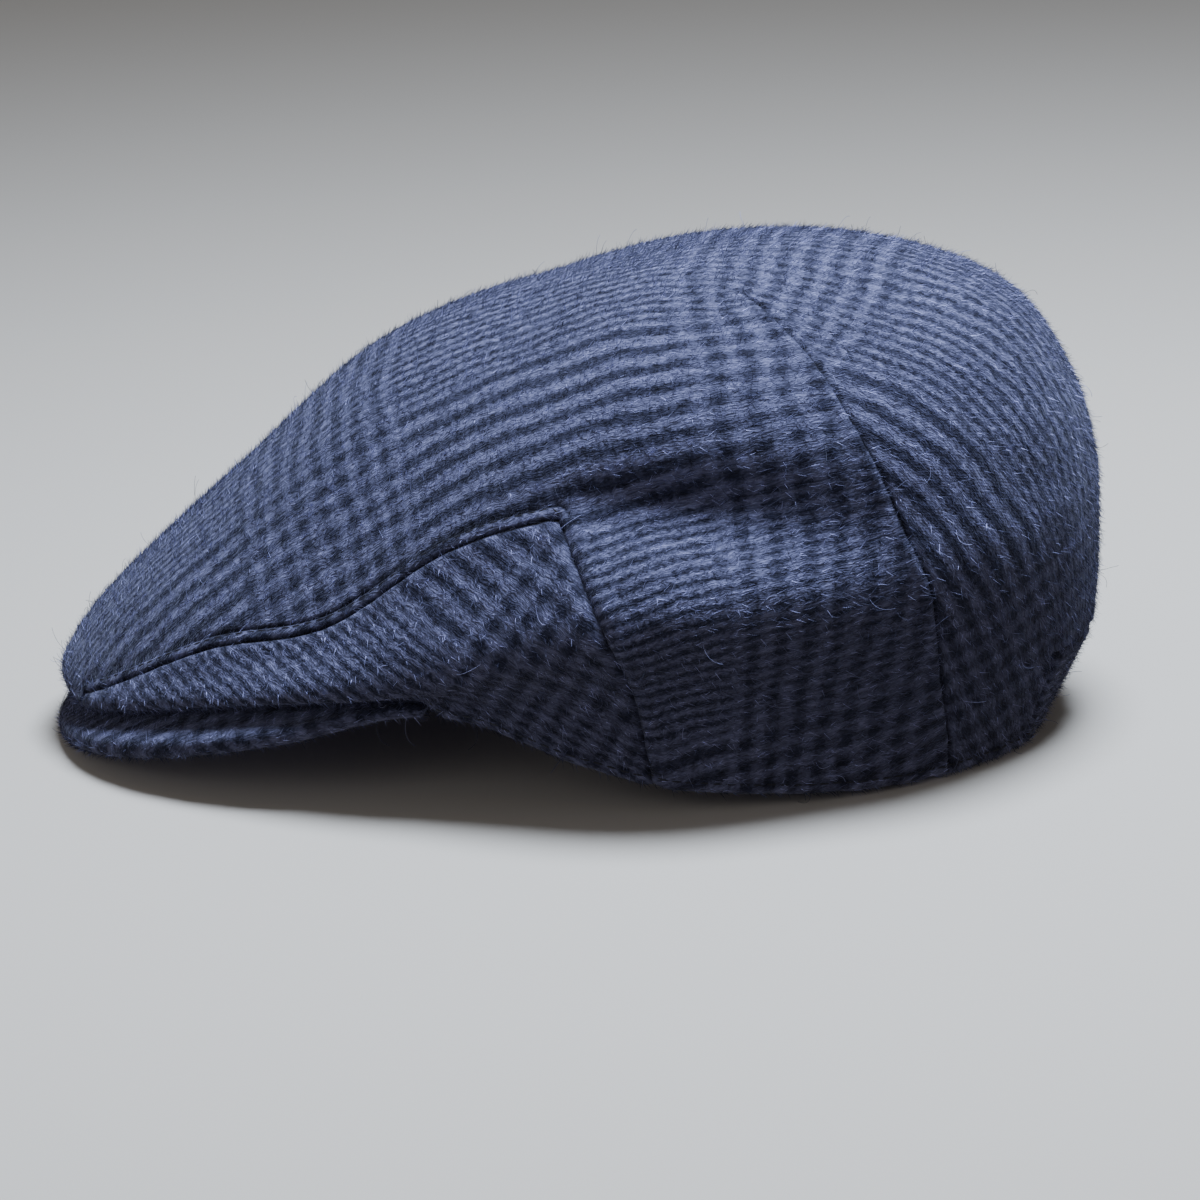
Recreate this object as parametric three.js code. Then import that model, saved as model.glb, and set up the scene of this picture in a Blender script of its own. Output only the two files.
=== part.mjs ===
// A flat cap in brushed check wool, cut with a wide main panel that comes down over the peak.
// The peak points to -Y, the wearer's left is +X and +Z is up. The cap lies on a table at z = 0,
// on the front of its peak and the back of its rim. Lengths are in millimetres.
//
// The cloth over the head is one surface, cut along its seams into the crown, which is the main
// panel, two side panels and the back band. It is lofted through rings, from the lower edge up to
// the middle of the top. A point on it has a turn, the angle round the cap from the middle of the
// front, and a level, the place between the rings: 0 at the lower edge and 6 at the middle.
import * as THREE from "three";

// Driving dimensions.
const capLength = 284; // the shares of length below are of half of this
const capWidth = 192; // the shares of width below are of half of this
const crownHeight = 126; // table to the top of the crown
const clothThickness = 2;
const seamGap = 0.3; // between two pieces that are sewn to each other
const peakGap = 0.5; // from the peak's top up to the crown's edge
const peakThickness = 6.5; // board and both cloths
const peakEndThickness = 3; // at the temples
const peakCamber = 0.5; // rise of the peak's middle over a straight line from forehead to edge
const bandReach = 27; // half the width of the back band
const frontTabReach = 41; // half the width of the main panel's tab at the front

const halfLength = capLength / 2;
const halfWidth = capWidth / 2;

// Each row is a station round the crown. Columns: turn in degrees, then for each ring how far out
// it lies, as a share of the half length and half width, and how far up, as a share of the height.
// The edge has no height in front, where it is worked out from the peak that it sits on.
const stations = [
  {
    turn: 0, edge: [0.91], fold: [0.94, 0.112], seam: [0.949, 0.14],
    brow: [0.89, 0.247], shoulder: [0.61, 0.522], top: [0.3, 0.812],
  },
  {
    turn: 12, edge: [0.915], fold: [0.945, 0.112], seam: [0.953, 0.14],
    brow: [0.885, 0.25], shoulder: [0.59, 0.558], top: [0.29, 0.818],
  },
  {
    turn: 27, edge: [0.92], fold: [0.953, 0.12], seam: [0.945, 0.144],
    brow: [0.86, 0.287], shoulder: [0.55, 0.608], top: [0.28, 0.83],
  },
  {
    turn: 49, edge: [0.885], fold: [0.935, 0.182], seam: [0.86, 0.288],
    brow: [0.76, 0.41], shoulder: [0.52, 0.675], top: [0.27, 0.852],
  },
  {
    turn: 66, edge: [0.86], fold: [0.915, 0.224], seam: [0.817, 0.355],
    brow: [0.71, 0.498], shoulder: [0.52, 0.703], top: [0.28, 0.862],
  },
  {
    turn: 82, edge: [0.835, 0.178], fold: [0.918, 0.268], seam: [0.797, 0.515],
    brow: [0.72, 0.6], shoulder: [0.56, 0.735], top: [0.3, 0.875],
  },
  {
    turn: 98, edge: [0.858, 0.09], fold: [0.985, 0.375], seam: [0.855, 0.6],
    brow: [0.79, 0.685], shoulder: [0.63, 0.79], top: [0.34, 0.9],
  },
  {
    turn: 110, edge: [0.903, 0.042], fold: [1.035, 0.425], seam: [0.94, 0.605],
    brow: [0.87, 0.71], shoulder: [0.71, 0.835], top: [0.41, 0.927],
  },
  {
    turn: 130, edge: [0.918, 0.01], fold: [1.05, 0.445], seam: [1.02, 0.59],
    brow: [0.955, 0.73], shoulder: [0.8, 0.865], top: [0.47, 0.967],
  },
  {
    turn: 152, edge: [0.9, 0], fold: [1.006, 0.45], seam: [0.991, 0.585],
    brow: [0.95, 0.722], shoulder: [0.84, 0.87], top: [0.51, 0.985],
  },
  {
    turn: 180, edge: [0.866, 0], fold: [0.977, 0.45], seam: [0.972, 0.57],
    brow: [0.935, 0.71], shoulder: [0.835, 0.876], top: [0.5, 0.999],
  },
];
const ringNames = ["edge", "fold", "seam", "brow", "shoulder", "top"];
const middleUp = 0.93; // height of the middle of the top, as a share of the crown's height
const middleRise = 0.23; // how steeply the top rises there, towards the back
const poleLevel = ringNames.length;

// Each row is a station along the peak. Columns: turn in degrees, then how far out and up the
// underside lies at the forehead and at the outer edge, as shares like those of the crown.
const peakStations = [
  { turn: 0, forehead: [0.53, 0.215], rim: [0.95, -0.008] },
  { turn: 19, forehead: [0.545, 0.215], rim: [0.957, -0.003] },
  { turn: 37, forehead: [0.58, 0.22], rim: [0.975, 0.034] },
  { turn: 50, forehead: [0.63, 0.215], rim: [0.968, 0.073] },
  { turn: 63, forehead: [0.69, 0.205], rim: [0.94, 0.124] },
  { turn: 79, forehead: [0.785, 0.195], rim: [0.862, 0.187] },
];
const peakEndTurn = peakStations.at(-1).turn;

const sideSeamTurn = 96; // where the side seam leaves the topstitched seam
const sideSeamLean = 4.8; // degrees that the side seam runs back, for each level that it goes down
const leanReach = 32; // degrees behind the side seam over which that lean dies away
const seamLevel = 2;
const bandLevel = 0.42; // top of the back band

// The dents that the soft cloth takes. Columns: turn and level of the middle, half the size each
// way, in degrees and levels, and the depth as a share of the cap's width, negative for a bulge.
const dents = [
  { turn: 110, level: 2.15, turnReach: 13, levelReach: 0.75, depth: 0.04 },
  { turn: 124, level: 1.7, turnReach: 8, levelReach: 0.7, depth: 0.012 },
  { turn: 108, level: 1.3, turnReach: 13, levelReach: 0.6, depth: -0.016 },
  { turn: 78, level: 1.2, turnReach: 22, levelReach: 0.4, depth: -0.01 },
  { turn: 98, level: 0.55, turnReach: 30, levelReach: 0.35, depth: 0.013 },
  { turn: 180, level: 0.42, turnReach: 24, levelReach: 0.35, depth: -0.031 },
];

// Value at a turn, from rows of turns and values, on a smooth curve that is level at both ends.
function smoothed(turns, values, turn) {
  const last = turns.length - 1;
  const slope = (k) =>
    k <= 0 || k >= last ? 0 : (values[k + 1] - values[k - 1]) / (turns[k + 1] - turns[k - 1]);
  let k = 0;
  while (k < last - 1 && turn > turns[k + 1]) k += 1;
  const span = turns[k + 1] - turns[k];
  const u = (turn - turns[k]) / span;
  const rise = values[k + 1] - values[k];
  const startSlope = slope(k) * span;
  const endSlope = slope(k + 1) * span;
  return (
    values[k] +
    u * startSlope +
    u * u * (3 * rise - 2 * startSlope - endSlope) +
    u * u * u * (startSlope + endSlope - 2 * rise)
  );
}

// The place that lies out and up by these shares, at a turn in degrees.
function placeOf(out, up, turn) {
  const angle = THREE.MathUtils.degToRad(turn);
  return new THREE.Vector3(
    halfWidth * out * Math.sin(angle),
    -halfLength * out * Math.cos(angle),
    crownHeight * up,
  );
}

// The turn folded to 0 to 180 degrees, because both sides of the cap are alike.
function foldedTurn(turn) {
  const round = Math.abs(THREE.MathUtils.euclideanModulo(turn + 180, 360) - 180);
  return Math.min(round, 180);
}

function columnAt(rows, name, part, turn) {
  const used = rows.filter((row) => row[name].length > part);
  return smoothed(
    used.map((row) => row.turn),
    used.map((row) => row[name][part]),
    foldedTurn(turn),
  );
}

// Thickness of the peak at a turn, thinning towards the temples.
function peakThicknessAt(turn) {
  const share = Math.min(foldedTurn(turn) / peakEndTurn, 1);
  return THREE.MathUtils.lerp(peakThickness, peakEndThickness, share ** 3);
}

// Underside of the peak: across is 0 at the forehead and 1 at the outer edge.
function peakUnderside(turn, across) {
  const foreheadOut = columnAt(peakStations, "forehead", 0, turn);
  const foreheadUp = columnAt(peakStations, "forehead", 1, turn);
  const rimOut = columnAt(peakStations, "rim", 0, turn);
  const rimUp = columnAt(peakStations, "rim", 1, turn);
  const place = placeOf(
    THREE.MathUtils.lerp(foreheadOut, rimOut, across),
    THREE.MathUtils.lerp(foreheadUp, rimUp, across),
    turn,
  );
  place.z += peakCamber * 4 * across * (1 - across) * (peakThicknessAt(turn) / peakThickness);
  return place;
}

// Height of the peak's top where the crown's edge lies on it.
function peakTopUnderEdge(turn) {
  const foreheadOut = columnAt(peakStations, "forehead", 0, turn);
  const rimOut = columnAt(peakStations, "rim", 0, turn);
  const across = (columnAt(stations, "edge", 0, turn) - foreheadOut) / (rimOut - foreheadOut);
  const forehead = peakUnderside(turn, 0);
  const rim = peakUnderside(turn, 1);
  const slope = (forehead.z - rim.z) / Math.hypot(forehead.x - rim.x, forehead.y - rim.y);
  const thickness = peakThicknessAt(turn) * Math.hypot(1, slope);
  return peakUnderside(turn, Math.min(across, 1)).z + thickness;
}

// Height of the crown's edge: on the peak in front, and by the table behind the temples.
function edgeHeight(turn) {
  const side = foldedTurn(turn);
  const firstRim = stations.find((row) => row.edge.length > 1).turn;
  const rimUp = columnAt(stations, "edge", 1, Math.max(side, firstRim));
  const rimHeight = Math.max(0, crownHeight * rimUp);
  if (side >= firstRim) return rimHeight;
  const onPeak = Math.min(side, peakEndTurn);
  const height = peakTopUnderEdge(onPeak) + peakGap;
  const share = Math.max(0, (side - onPeak) / (firstRim - peakEndTurn));
  return THREE.MathUtils.lerp(height, rimHeight, share);
}

function ringPoint(ring, turn) {
  const name = ringNames[ring];
  const place = placeOf(columnAt(stations, name, 0, turn), 0, turn);
  place.z =
    name === "edge" ? edgeHeight(turn) : crownHeight * columnAt(stations, name, 1, turn);
  return place;
}

// The rib of the crown at a turn: a curve from the edge to the middle of the top and past it, to
// a point that has all the ribs cross the middle in one plane.
function ribAt(turn) {
  const points = ringNames.map((name, ring) => ringPoint(ring, turn));
  const middle = new THREE.Vector3(0, 0, crownHeight * middleUp);
  const before = points.at(-1);
  const past = new THREE.Vector3(-before.x, -before.y, before.z - 2 * middleRise * before.y);
  points.push(middle, past);
  return new THREE.CatmullRomCurve3(points, false, "centripetal");
}

function dentDepth(turn, level) {
  const share = dents.reduce((sum, dent) => {
    const acrossTurn = (foldedTurn(turn) - dent.turn) / dent.turnReach;
    const acrossLevel = (level - dent.level) / dent.levelReach;
    return sum + dent.depth * Math.exp(-(acrossTurn ** 2) - acrossLevel ** 2);
  }, 0);
  return capWidth * share;
}

// The turns of the columns on one side of the cap, closer together where seams and bends are.
const frontTabTurn = turnAtReach(frontTabReach, columnAt(stations, "seam", 0, 0));
const bandTurn = 180 - turnAtReach(bandReach, columnAt(stations, "edge", 0, 180));
const sideColumns = [
  ...spread(0, frontTabTurn, 5),
  ...spread(frontTabTurn, peakEndTurn, 9),
  ...spread(peakEndTurn, sideSeamTurn, 4),
  ...spread(sideSeamTurn, bandTurn, 11),
  ...spread(bandTurn, 180, 3),
];
// The levels of the rows, from the edge to the last row before the middle of the top.
const levels = [
  ...spread(0, bandLevel, 2),
  ...spread(bandLevel, 1, 3),
  ...spread(1, seamLevel, 4),
  ...spread(seamLevel, 3, 4),
  ...spread(3, 4, 3),
  ...spread(4, 5, 3),
  ...spread(5, poleLevel, 3),
];

// The turn, from the front or from the back, at which a ring lies this far to the side.
function turnAtReach(reach, out) {
  return THREE.MathUtils.radToDeg(Math.asin(reach / (halfWidth * out)));
}

// Equal steps from a start up to, but not including, an end.
function spread(start, end, steps) {
  return Array.from({ length: steps }, (_, k) => start + ((end - start) * k) / steps);
}

// All columns round the cap: those of the left side, and the same ones mirrored.
const columns = [
  ...sideColumns,
  180,
  ...sideColumns
    .slice(1)
    .reverse()
    .map((turn) => -turn),
];
const rowCount = levels.length;
const easingPasses = 4;
const seamRow = levels.indexOf(seamLevel);
const bandRow = levels.indexOf(bandLevel);
const tabColumn = columns.indexOf(frontTabTurn);
const seamColumn = columns.indexOf(sideSeamTurn);
const bandColumn = columns.indexOf(bandTurn);
const columnCount = columns.length;

// The columns lean below the topstitched seam, as the side seam does.
function leaningTurn(turn, level) {
  const side = foldedTurn(turn);
  const reach = side < sideSeamTurn ? sideSeamTurn - peakEndTurn : leanReach;
  const near = Math.max(0, 1 - Math.abs(side - sideSeamTurn) / reach);
  const lean = sideSeamLean * Math.max(0, seamLevel - level) * near * near * (3 - 2 * near);
  return turn + Math.sign(turn) * lean;
}

// The outer surface as rows of points, each with its outward direction.
function crownGrid() {
  const ribs = new Map();
  const ribOf = (turn) => {
    if (!ribs.has(turn)) ribs.set(turn, ribAt(turn));
    return ribs.get(turn);
  };
  const segments = poleLevel + 1;
  const outer = columns.map((turn) =>
    levels.map((level) => ribOf(leaningTurn(turn, level)).getPoint(level / segments)),
  );
  const pole = new THREE.Vector3(0, 0, crownHeight * middleUp);
  const positions = [...outer.flat(), pole];
  const geometry = new THREE.BufferGeometry().setFromPoints(positions);
  const faces = [];
  for (let i = 0; i < columnCount; i += 1) {
    for (let j = 0; j < rowCount; j += 1) faces.push(...cellFaces(i, j));
  }
  geometry.setIndex(faces.flat());
  geometry.computeVertexNormals();
  const normals = geometry.getAttribute("normal");
  const outward = positions.map((_, k) => new THREE.Vector3().fromBufferAttribute(normals, k));
  const through = easedAlongRibs(outward);
  return positions.map((place, k) => {
    const column = Math.floor(k / rowCount);
    const level = levels[k % rowCount];
    const isPole = k === positions.length - 1;
    const depth = isPole ? 0 : dentDepth(columns[column], level);
    const push = outward[k].clone();
    if (!isPole && level === 0) push.setZ(0).normalize();
    const dented = place.clone().addScaledVector(push, -depth);
    const inner = dented.clone().addScaledVector(through[k], -clothThickness);
    return { outer: dented, inner };
  });
}

// The directions through the cloth, turned a little at a time along each rib, so that the wall
// doesn't fold into itself in the tight roll over the peak. Behind the peak the edge is cut level.
function easedAlongRibs(outward) {
  let eased = outward.map((direction) => direction.clone());
  for (let pass = 0; pass < easingPasses; pass += 1) {
    eased = eased.map((direction, k) => {
      if (k === eased.length - 1) return direction;
      const row = k % rowCount;
      const below = eased[row === 0 ? k : k - 1];
      const above = eased[row === rowCount - 1 ? k : k + 1];
      return direction.clone().multiplyScalar(2).add(below).add(above).normalize();
    });
  }
  columns.forEach((turn, column) => {
    const behindPeak = foldedTurn(turn) > peakEndTurn;
    if (behindPeak) eased[column * rowCount].setZ(0).normalize();
  });
  return eased;
}

// Index of a grid point. The row past the last one is the middle of the top.
function indexOf(i, j) {
  return j >= rowCount ? columnCount * rowCount : (i % columnCount) * rowCount + j;
}

// The triangles of the cell above row j, between column i and the next one, facing out. The two
// sides of the cap are cut along mirrored diagonals.
function cellFaces(i, j) {
  const lowLeft = indexOf(i, j);
  const lowRight = indexOf(i + 1, j);
  const highRight = indexOf(i + 1, j + 1);
  const highLeft = indexOf(i, j + 1);
  if (highLeft === highRight) return [[lowLeft, lowRight, highLeft]];
  if (i < columnCount / 2) {
    return [
      [lowLeft, lowRight, highRight],
      [lowLeft, highRight, highLeft],
    ];
  }
  return [
    [lowLeft, lowRight, highLeft],
    [lowRight, highRight, highLeft],
  ];
}

// A closed wall from the cells that belong to a piece. Its free edges step back by half the
// seam gap from the line that it shares with its neighbour, but not at the crown's lower edge.
function wallFrom(grid, belongs) {
  const faces = [];
  for (let i = 0; i < columnCount; i += 1) {
    for (let j = 0; j < rowCount; j += 1) if (belongs(i, j)) faces.push(...cellFaces(i, j));
  }
  const edges = freeEdges(faces);
  const step = stepBack(grid, faces, edges);
  const used = [...new Set(faces.flat())];
  const count = used.length;
  const newIndex = new Map(used.map((k, n) => [k, n]));
  const move = (k, side) => grid[k][side].clone().add(step.get(k) ?? new THREE.Vector3());
  const points = [...used.map((k) => move(k, "outer")), ...used.map((k) => move(k, "inner"))];
  const triangles = [];
  for (const [a, b, c] of faces.map((face) => face.map((k) => newIndex.get(k)))) {
    triangles.push([a, b, c], [a + count, c + count, b + count]);
  }
  for (const [a, b] of edges.map((edge) => edge.map((k) => newIndex.get(k)))) {
    triangles.push([b, a, a + count], [b, a + count, b + count]);
  }
  return new THREE.BufferGeometry().setFromPoints(points).setIndex(triangles.flat());
}

// The directed edges of the faces that no other face shares.
function freeEdges(faces) {
  const seen = new Set(faces.flatMap(([a, b, c]) => [`${a} ${b}`, `${b} ${c}`, `${c} ${a}`]));
  return [...seen]
    .map((key) => key.split(" ").map(Number))
    .filter(([a, b]) => !seen.has(`${b} ${a}`));
}

// How far each point of a free edge moves, along the surface and into the piece. At a corner it
// moves further, to keep the gap on both sides, but at most twice as far.
const leastCosine = 0.5;
function stepBack(grid, faces, edges) {
  const inward = new Map();
  const third = new Map();
  for (const [a, b, c] of faces) {
    third.set(`${a} ${b}`, c);
    third.set(`${b} ${c}`, a);
    third.set(`${c} ${a}`, b);
  }
  for (const [a, b] of edges) {
    const bothLow = isLowest(a) && isLowest(b);
    if (bothLow) continue;
    const along = grid[b].outer.clone().sub(grid[a].outer).normalize();
    const across = grid[third.get(`${a} ${b}`)].outer.clone().sub(grid[a].outer);
    across.addScaledVector(along, -across.dot(along)).normalize();
    for (const k of [a, b]) {
      const sum = inward.get(k) ?? [];
      inward.set(k, [...sum, across]);
    }
  }
  return new Map(
    [...inward].map(([k, ways]) => {
      const sum = ways.reduce((total, way) => total.add(way), new THREE.Vector3());
      const cosine = ways.reduce((least, way) => Math.min(least, way.dot(sum) / sum.length()), 1);
      const move = sum.normalize().multiplyScalar(seamGap / 2 / Math.max(cosine, leastCosine));
      if (isLowest(k)) move.z = 0;
      return [k, move];
    }),
  );
}

function isLowest(k) {
  return k < columnCount * rowCount && k % rowCount === 0;
}

// Which piece a cell belongs to.
function pieceOf(i, j) {
  const left = i < columnCount / 2;
  const fromFront = left ? i : columnCount - 1 - i;
  const besideSeam = fromFront >= tabColumn && fromFront < seamColumn;
  if (besideSeam && j < seamRow) return left ? "left_side_panel" : "right_side_panel";
  if (fromFront >= bandColumn && j < bandRow) return "back_band";
  return "crown";
}

// The peak: sections across it from temple to temple, each a closed loop with a round nose.
const peakAcrossSteps = 7;
const noseSteps = 6;
const peakSections = 36;

function peakSection(turn) {
  const thickness = peakThicknessAt(turn);
  const radius = thickness / 2;
  const middle = spread(0, 1, peakAcrossSteps).concat(1);
  const reach = peakUnderside(turn, 1).sub(peakUnderside(turn, 0)).length();
  const noseStart = 1 - radius / reach;
  const low = middle.map((across) => peakUnderside(turn, across * noseStart));
  const lastStep = low.at(-1).clone().sub(low.at(-2)).normalize();
  const end = new THREE.Vector3(0, 0, 1);
  end.addScaledVector(lastStep, -end.dot(lastStep)).normalize();
  const centre = low.at(-1).clone().addScaledVector(end, radius);
  const nose = spread(0, Math.PI, noseSteps)
    .slice(1)
    .map((angle) =>
      centre
        .clone()
        .addScaledVector(end, -radius * Math.cos(angle))
        .addScaledVector(lastStep, radius * Math.sin(angle)),
    );
  const high = low.map((place) => place.clone().addScaledVector(end, thickness)).reverse();
  return [...low, ...nose, ...high];
}

function peakGeometry() {
  const turns = [...spread(-peakEndTurn, peakEndTurn, peakSections), peakEndTurn];
  const sections = turns.map(peakSection);
  const size = sections[0].length;
  const triangles = [];
  for (let s = 0; s < sections.length - 1; s += 1) {
    for (let k = 0; k < size; k += 1) {
      const next = (k + 1) % size;
      const [a, b] = [s * size + k, s * size + next];
      const [c, d] = [a + size, b + size];
      triangles.push([a, c, d], [a, d, b]);
    }
  }
  const last = (sections.length - 1) * size;
  const flat = sections[0].map((place) => new THREE.Vector2(...flatPlace(place, sections[0])));
  for (const [a, b, c] of THREE.ShapeUtils.triangulateShape(flat, [])) {
    triangles.push([a, b, c], [last + a, last + c, last + b]);
  }
  return new THREE.BufferGeometry().setFromPoints(sections.flat()).setIndex(triangles.flat());
}

// A section's point as two lengths: along the section and up.
function flatPlace(place, section) {
  const way = section[peakAcrossSteps].clone().sub(section[0]).setZ(0).normalize();
  return [place.clone().sub(section[0]).dot(way), place.z];
}

// The cloth is one wool, and looks a shade darker on the peak.
const wool = new THREE.MeshStandardMaterial({ color: 0x4a4f66, roughness: 0.95, metalness: 0 });
const peakWool = new THREE.MeshStandardMaterial({ color: 0x3f4458, roughness: 0.95, metalness: 0 });

function addMesh(group, name, geometry, material) {
  const mesh = new THREE.Mesh(geometry, material);
  mesh.name = name;
  group.add(mesh);
}

const cap = new THREE.Group();
const grid = crownGrid();
for (const name of ["crown", "left_side_panel", "right_side_panel", "back_band"]) {
  addMesh(cap, name, wallFrom(grid, (i, j) => pieceOf(i, j) === name), wool);
}
addMesh(cap, "peak", peakGeometry(), peakWool);

export default cap;
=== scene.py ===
# A flat cap in brushed check wool, dressed over its frame and shown on a pale floor.
# The peak points to -Y, the wearer's left is +X and +Z is up. Lengths are in metres.
import functools
import math
from collections import namedtuple

import bpy
import numpy as np
from bpy.props import FloatProperty, FloatVectorProperty, PointerProperty
from mathutils import Matrix, Vector, kdtree, noise


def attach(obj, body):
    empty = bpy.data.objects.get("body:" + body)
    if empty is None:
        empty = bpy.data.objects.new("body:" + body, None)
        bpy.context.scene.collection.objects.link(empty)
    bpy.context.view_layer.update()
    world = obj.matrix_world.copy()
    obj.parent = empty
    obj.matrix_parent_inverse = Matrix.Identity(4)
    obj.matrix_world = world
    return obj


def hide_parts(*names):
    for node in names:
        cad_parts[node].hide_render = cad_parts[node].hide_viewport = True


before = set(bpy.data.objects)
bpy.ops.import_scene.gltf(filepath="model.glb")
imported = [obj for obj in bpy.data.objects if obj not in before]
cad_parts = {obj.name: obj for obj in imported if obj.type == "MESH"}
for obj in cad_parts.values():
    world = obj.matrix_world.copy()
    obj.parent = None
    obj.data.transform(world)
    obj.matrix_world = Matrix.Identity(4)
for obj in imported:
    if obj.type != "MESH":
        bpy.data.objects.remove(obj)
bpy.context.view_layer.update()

bl_info = {
    "name": "Flat Cap in Check Wool",
    "version": (1, 0, 0),
    "blender": (4, 5, 0),
    "location": "3D View > Sidebar > Flat Cap",
    "description": "Builds the cloth, seams, stitches and nap of a flat cap over its frame",
    "category": "Object",
}

MM = 0.001
UP = np.array([0, 0, 1.0])

# The cap's form

# A point on the cloth has a turn, the angle in degrees round the cap from the middle of the front,
# and a level, the place between the rings: 0 at the lower edge and 6 at the middle of the top.
CAP_LENGTH = 0.284
CAP_WIDTH = 0.192
CROWN_HEIGHT = 0.126
CLOTH_THICKNESS = 0.002
PEAK_THICKNESS = 0.0065
PEAK_END_THICKNESS = 0.003
PEAK_CAMBER = 0.0005
PEAK_GAP = 0.0005
BAND_REACH = 0.027
FRONT_TAB_REACH = 0.041

# Out and up of each ring at a turn, as shares of half the length and width and of the height.
Station = namedtuple("Station", "turn edge fold seam brow shoulder top")
STATIONS = (
    Station(0, (0.91,), (0.94, 0.112), (0.949, 0.14), (0.89, 0.247), (0.61, 0.522), (0.3, 0.812)),
    Station(12, (0.915,), (0.945, 0.112), (0.953, 0.14), (0.885, 0.25), (0.59, 0.558), (0.29, 0.818)),
    Station(27, (0.92,), (0.953, 0.12), (0.945, 0.144), (0.86, 0.287), (0.55, 0.608), (0.28, 0.83)),
    Station(49, (0.885,), (0.935, 0.182), (0.86, 0.288), (0.76, 0.41), (0.52, 0.675), (0.27, 0.852)),
    Station(66, (0.86,), (0.915, 0.224), (0.817, 0.355), (0.71, 0.498), (0.52, 0.703), (0.28, 0.862)),
    Station(82, (0.835, 0.178), (0.918, 0.268), (0.797, 0.515), (0.72, 0.6), (0.56, 0.735), (0.3, 0.875)),
    Station(98, (0.858, 0.09), (0.985, 0.375), (0.855, 0.6), (0.79, 0.685), (0.63, 0.79), (0.34, 0.9)),
    Station(110, (0.903, 0.042), (1.035, 0.425), (0.94, 0.605), (0.87, 0.71), (0.71, 0.835), (0.41, 0.927)),
    Station(130, (0.918, 0.01), (1.05, 0.445), (1.02, 0.59), (0.955, 0.73), (0.8, 0.865), (0.47, 0.967)),
    Station(152, (0.9, 0), (1.006, 0.45), (0.991, 0.585), (0.95, 0.722), (0.84, 0.87), (0.51, 0.985)),
    Station(180, (0.866, 0), (0.977, 0.45), (0.972, 0.57), (0.935, 0.71), (0.835, 0.876), (0.5, 0.999)),
)
RINGS = ("edge", "fold", "seam", "brow", "shoulder", "top")
MIDDLE_UP = 0.93
MIDDLE_RISE = 0.23
SEAM_LEVEL = 2.0
BAND_LEVEL = 0.42
POLE_LEVEL = 6.0

# The peak's underside at the forehead and at its outer edge, in shares like those above.
PeakStation = namedtuple("PeakStation", "turn forehead rim")
PEAK_STATIONS = (
    PeakStation(0, (0.53, 0.215), (0.95, -0.008)),
    PeakStation(19, (0.545, 0.215), (0.957, -0.003)),
    PeakStation(37, (0.58, 0.22), (0.975, 0.034)),
    PeakStation(50, (0.63, 0.215), (0.968, 0.073)),
    PeakStation(63, (0.69, 0.205), (0.94, 0.124)),
    PeakStation(79, (0.785, 0.195), (0.862, 0.187)),
)
PEAK_END_TURN = PEAK_STATIONS[-1].turn

SIDE_SEAM_TURN = 96.0
SIDE_SEAM_LEAN = 4.8
LEAN_REACH = 32.0

# The dents of the soft cloth, in degrees and levels, each with its depth as a share of the width.
# The last one is the soft roll of the fold beside the side seam.
Dent = namedtuple("Dent", "turn level turn_reach level_reach depth")
DENTS = (
    Dent(110, 2.15, 13, 0.75, 0.04),
    Dent(124, 1.7, 8, 0.7, 0.012),
    Dent(108, 1.3, 13, 0.6, -0.016),
    Dent(78, 1.2, 22, 0.4, -0.01),
    Dent(98, 0.55, 30, 0.35, 0.013),
    Dent(180, 0.42, 24, 0.35, -0.031),
    Dent(106, 0.92, 13, 0.28, -0.011),
)
FULL_PUSH_LEVEL = 0.2  # below this level, dents push the cloth in but less and less up or down

# The dart at the back of each side: its turn at each level, from the rim up to its point.
DartRow = namedtuple("DartRow", "level turn")
DART = (
    DartRow(0.0, 143.0),
    DartRow(0.5, 137.4),
    DartRow(1.0, 133.4),
    DartRow(1.6, 131.6),
    DartRow(2.1, 130.8),
    DartRow(3.25, 129.4),
    DartRow(4.2, 130.6),
    DartRow(4.8, 133.0),
)

# The column of the grid that runs along the dart, and how far the columns in front and behind lean with it.
DART_COLUMN = 131.0
DART_REACH_FRONT = 30.0
DART_REACH_BACK = 28.0

# The angle that the side panels are cut at, and where their front corner lies on the check.
PANEL_BIAS = math.radians(-39)
PANEL_CUT = (-0.06, 0.085)


def smoothed(keys, values, at):
    """Values on a smooth curve through the rows, level at both ends."""
    keys, values = np.asarray(keys, float), np.asarray(values, float)
    slopes = np.zeros_like(values)
    slopes[1:-1] = (values[2:] - values[:-2]) / (keys[2:] - keys[:-2])
    k = np.clip(np.searchsorted(keys, at) - 1, 0, len(keys) - 2)
    span = keys[k + 1] - keys[k]
    u = (at - keys[k]) / span
    rise = values[k + 1] - values[k]
    start, end = slopes[k] * span, slopes[k + 1] * span
    return values[k] + u * start + u**2 * (3 * rise - 2 * start - end) + u**3 * (start + end - 2 * rise)


def folded(turn):
    """The turn folded to 0 to 180 degrees, because both sides of the cap are alike."""
    return np.abs((np.asarray(turn, float) + 180) % 360 - 180)


def column(rows, name, part, turn):
    """One part of a ring, such as how far out it is, at a turn. Rows that lack that part are left out."""
    used = [row for row in rows if len(getattr(row, name)) > part]
    values = [getattr(row, name)[part] for row in used]
    return smoothed([row.turn for row in used], values, folded(turn))


def place_of(out, up, turn):
    """The place at these shares of half the length and width and of the height."""
    angle = np.radians(turn)
    x = CAP_WIDTH / 2 * out * np.sin(angle)
    y = -CAP_LENGTH / 2 * out * np.cos(angle)
    return np.stack([x, y, CROWN_HEIGHT * up + 0 * x], axis=-1)


def lerp(start, end, share):
    return start + (end - start) * share


def unit(vectors):
    return vectors / np.linalg.norm(vectors, axis=-1, keepdims=True)


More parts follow.
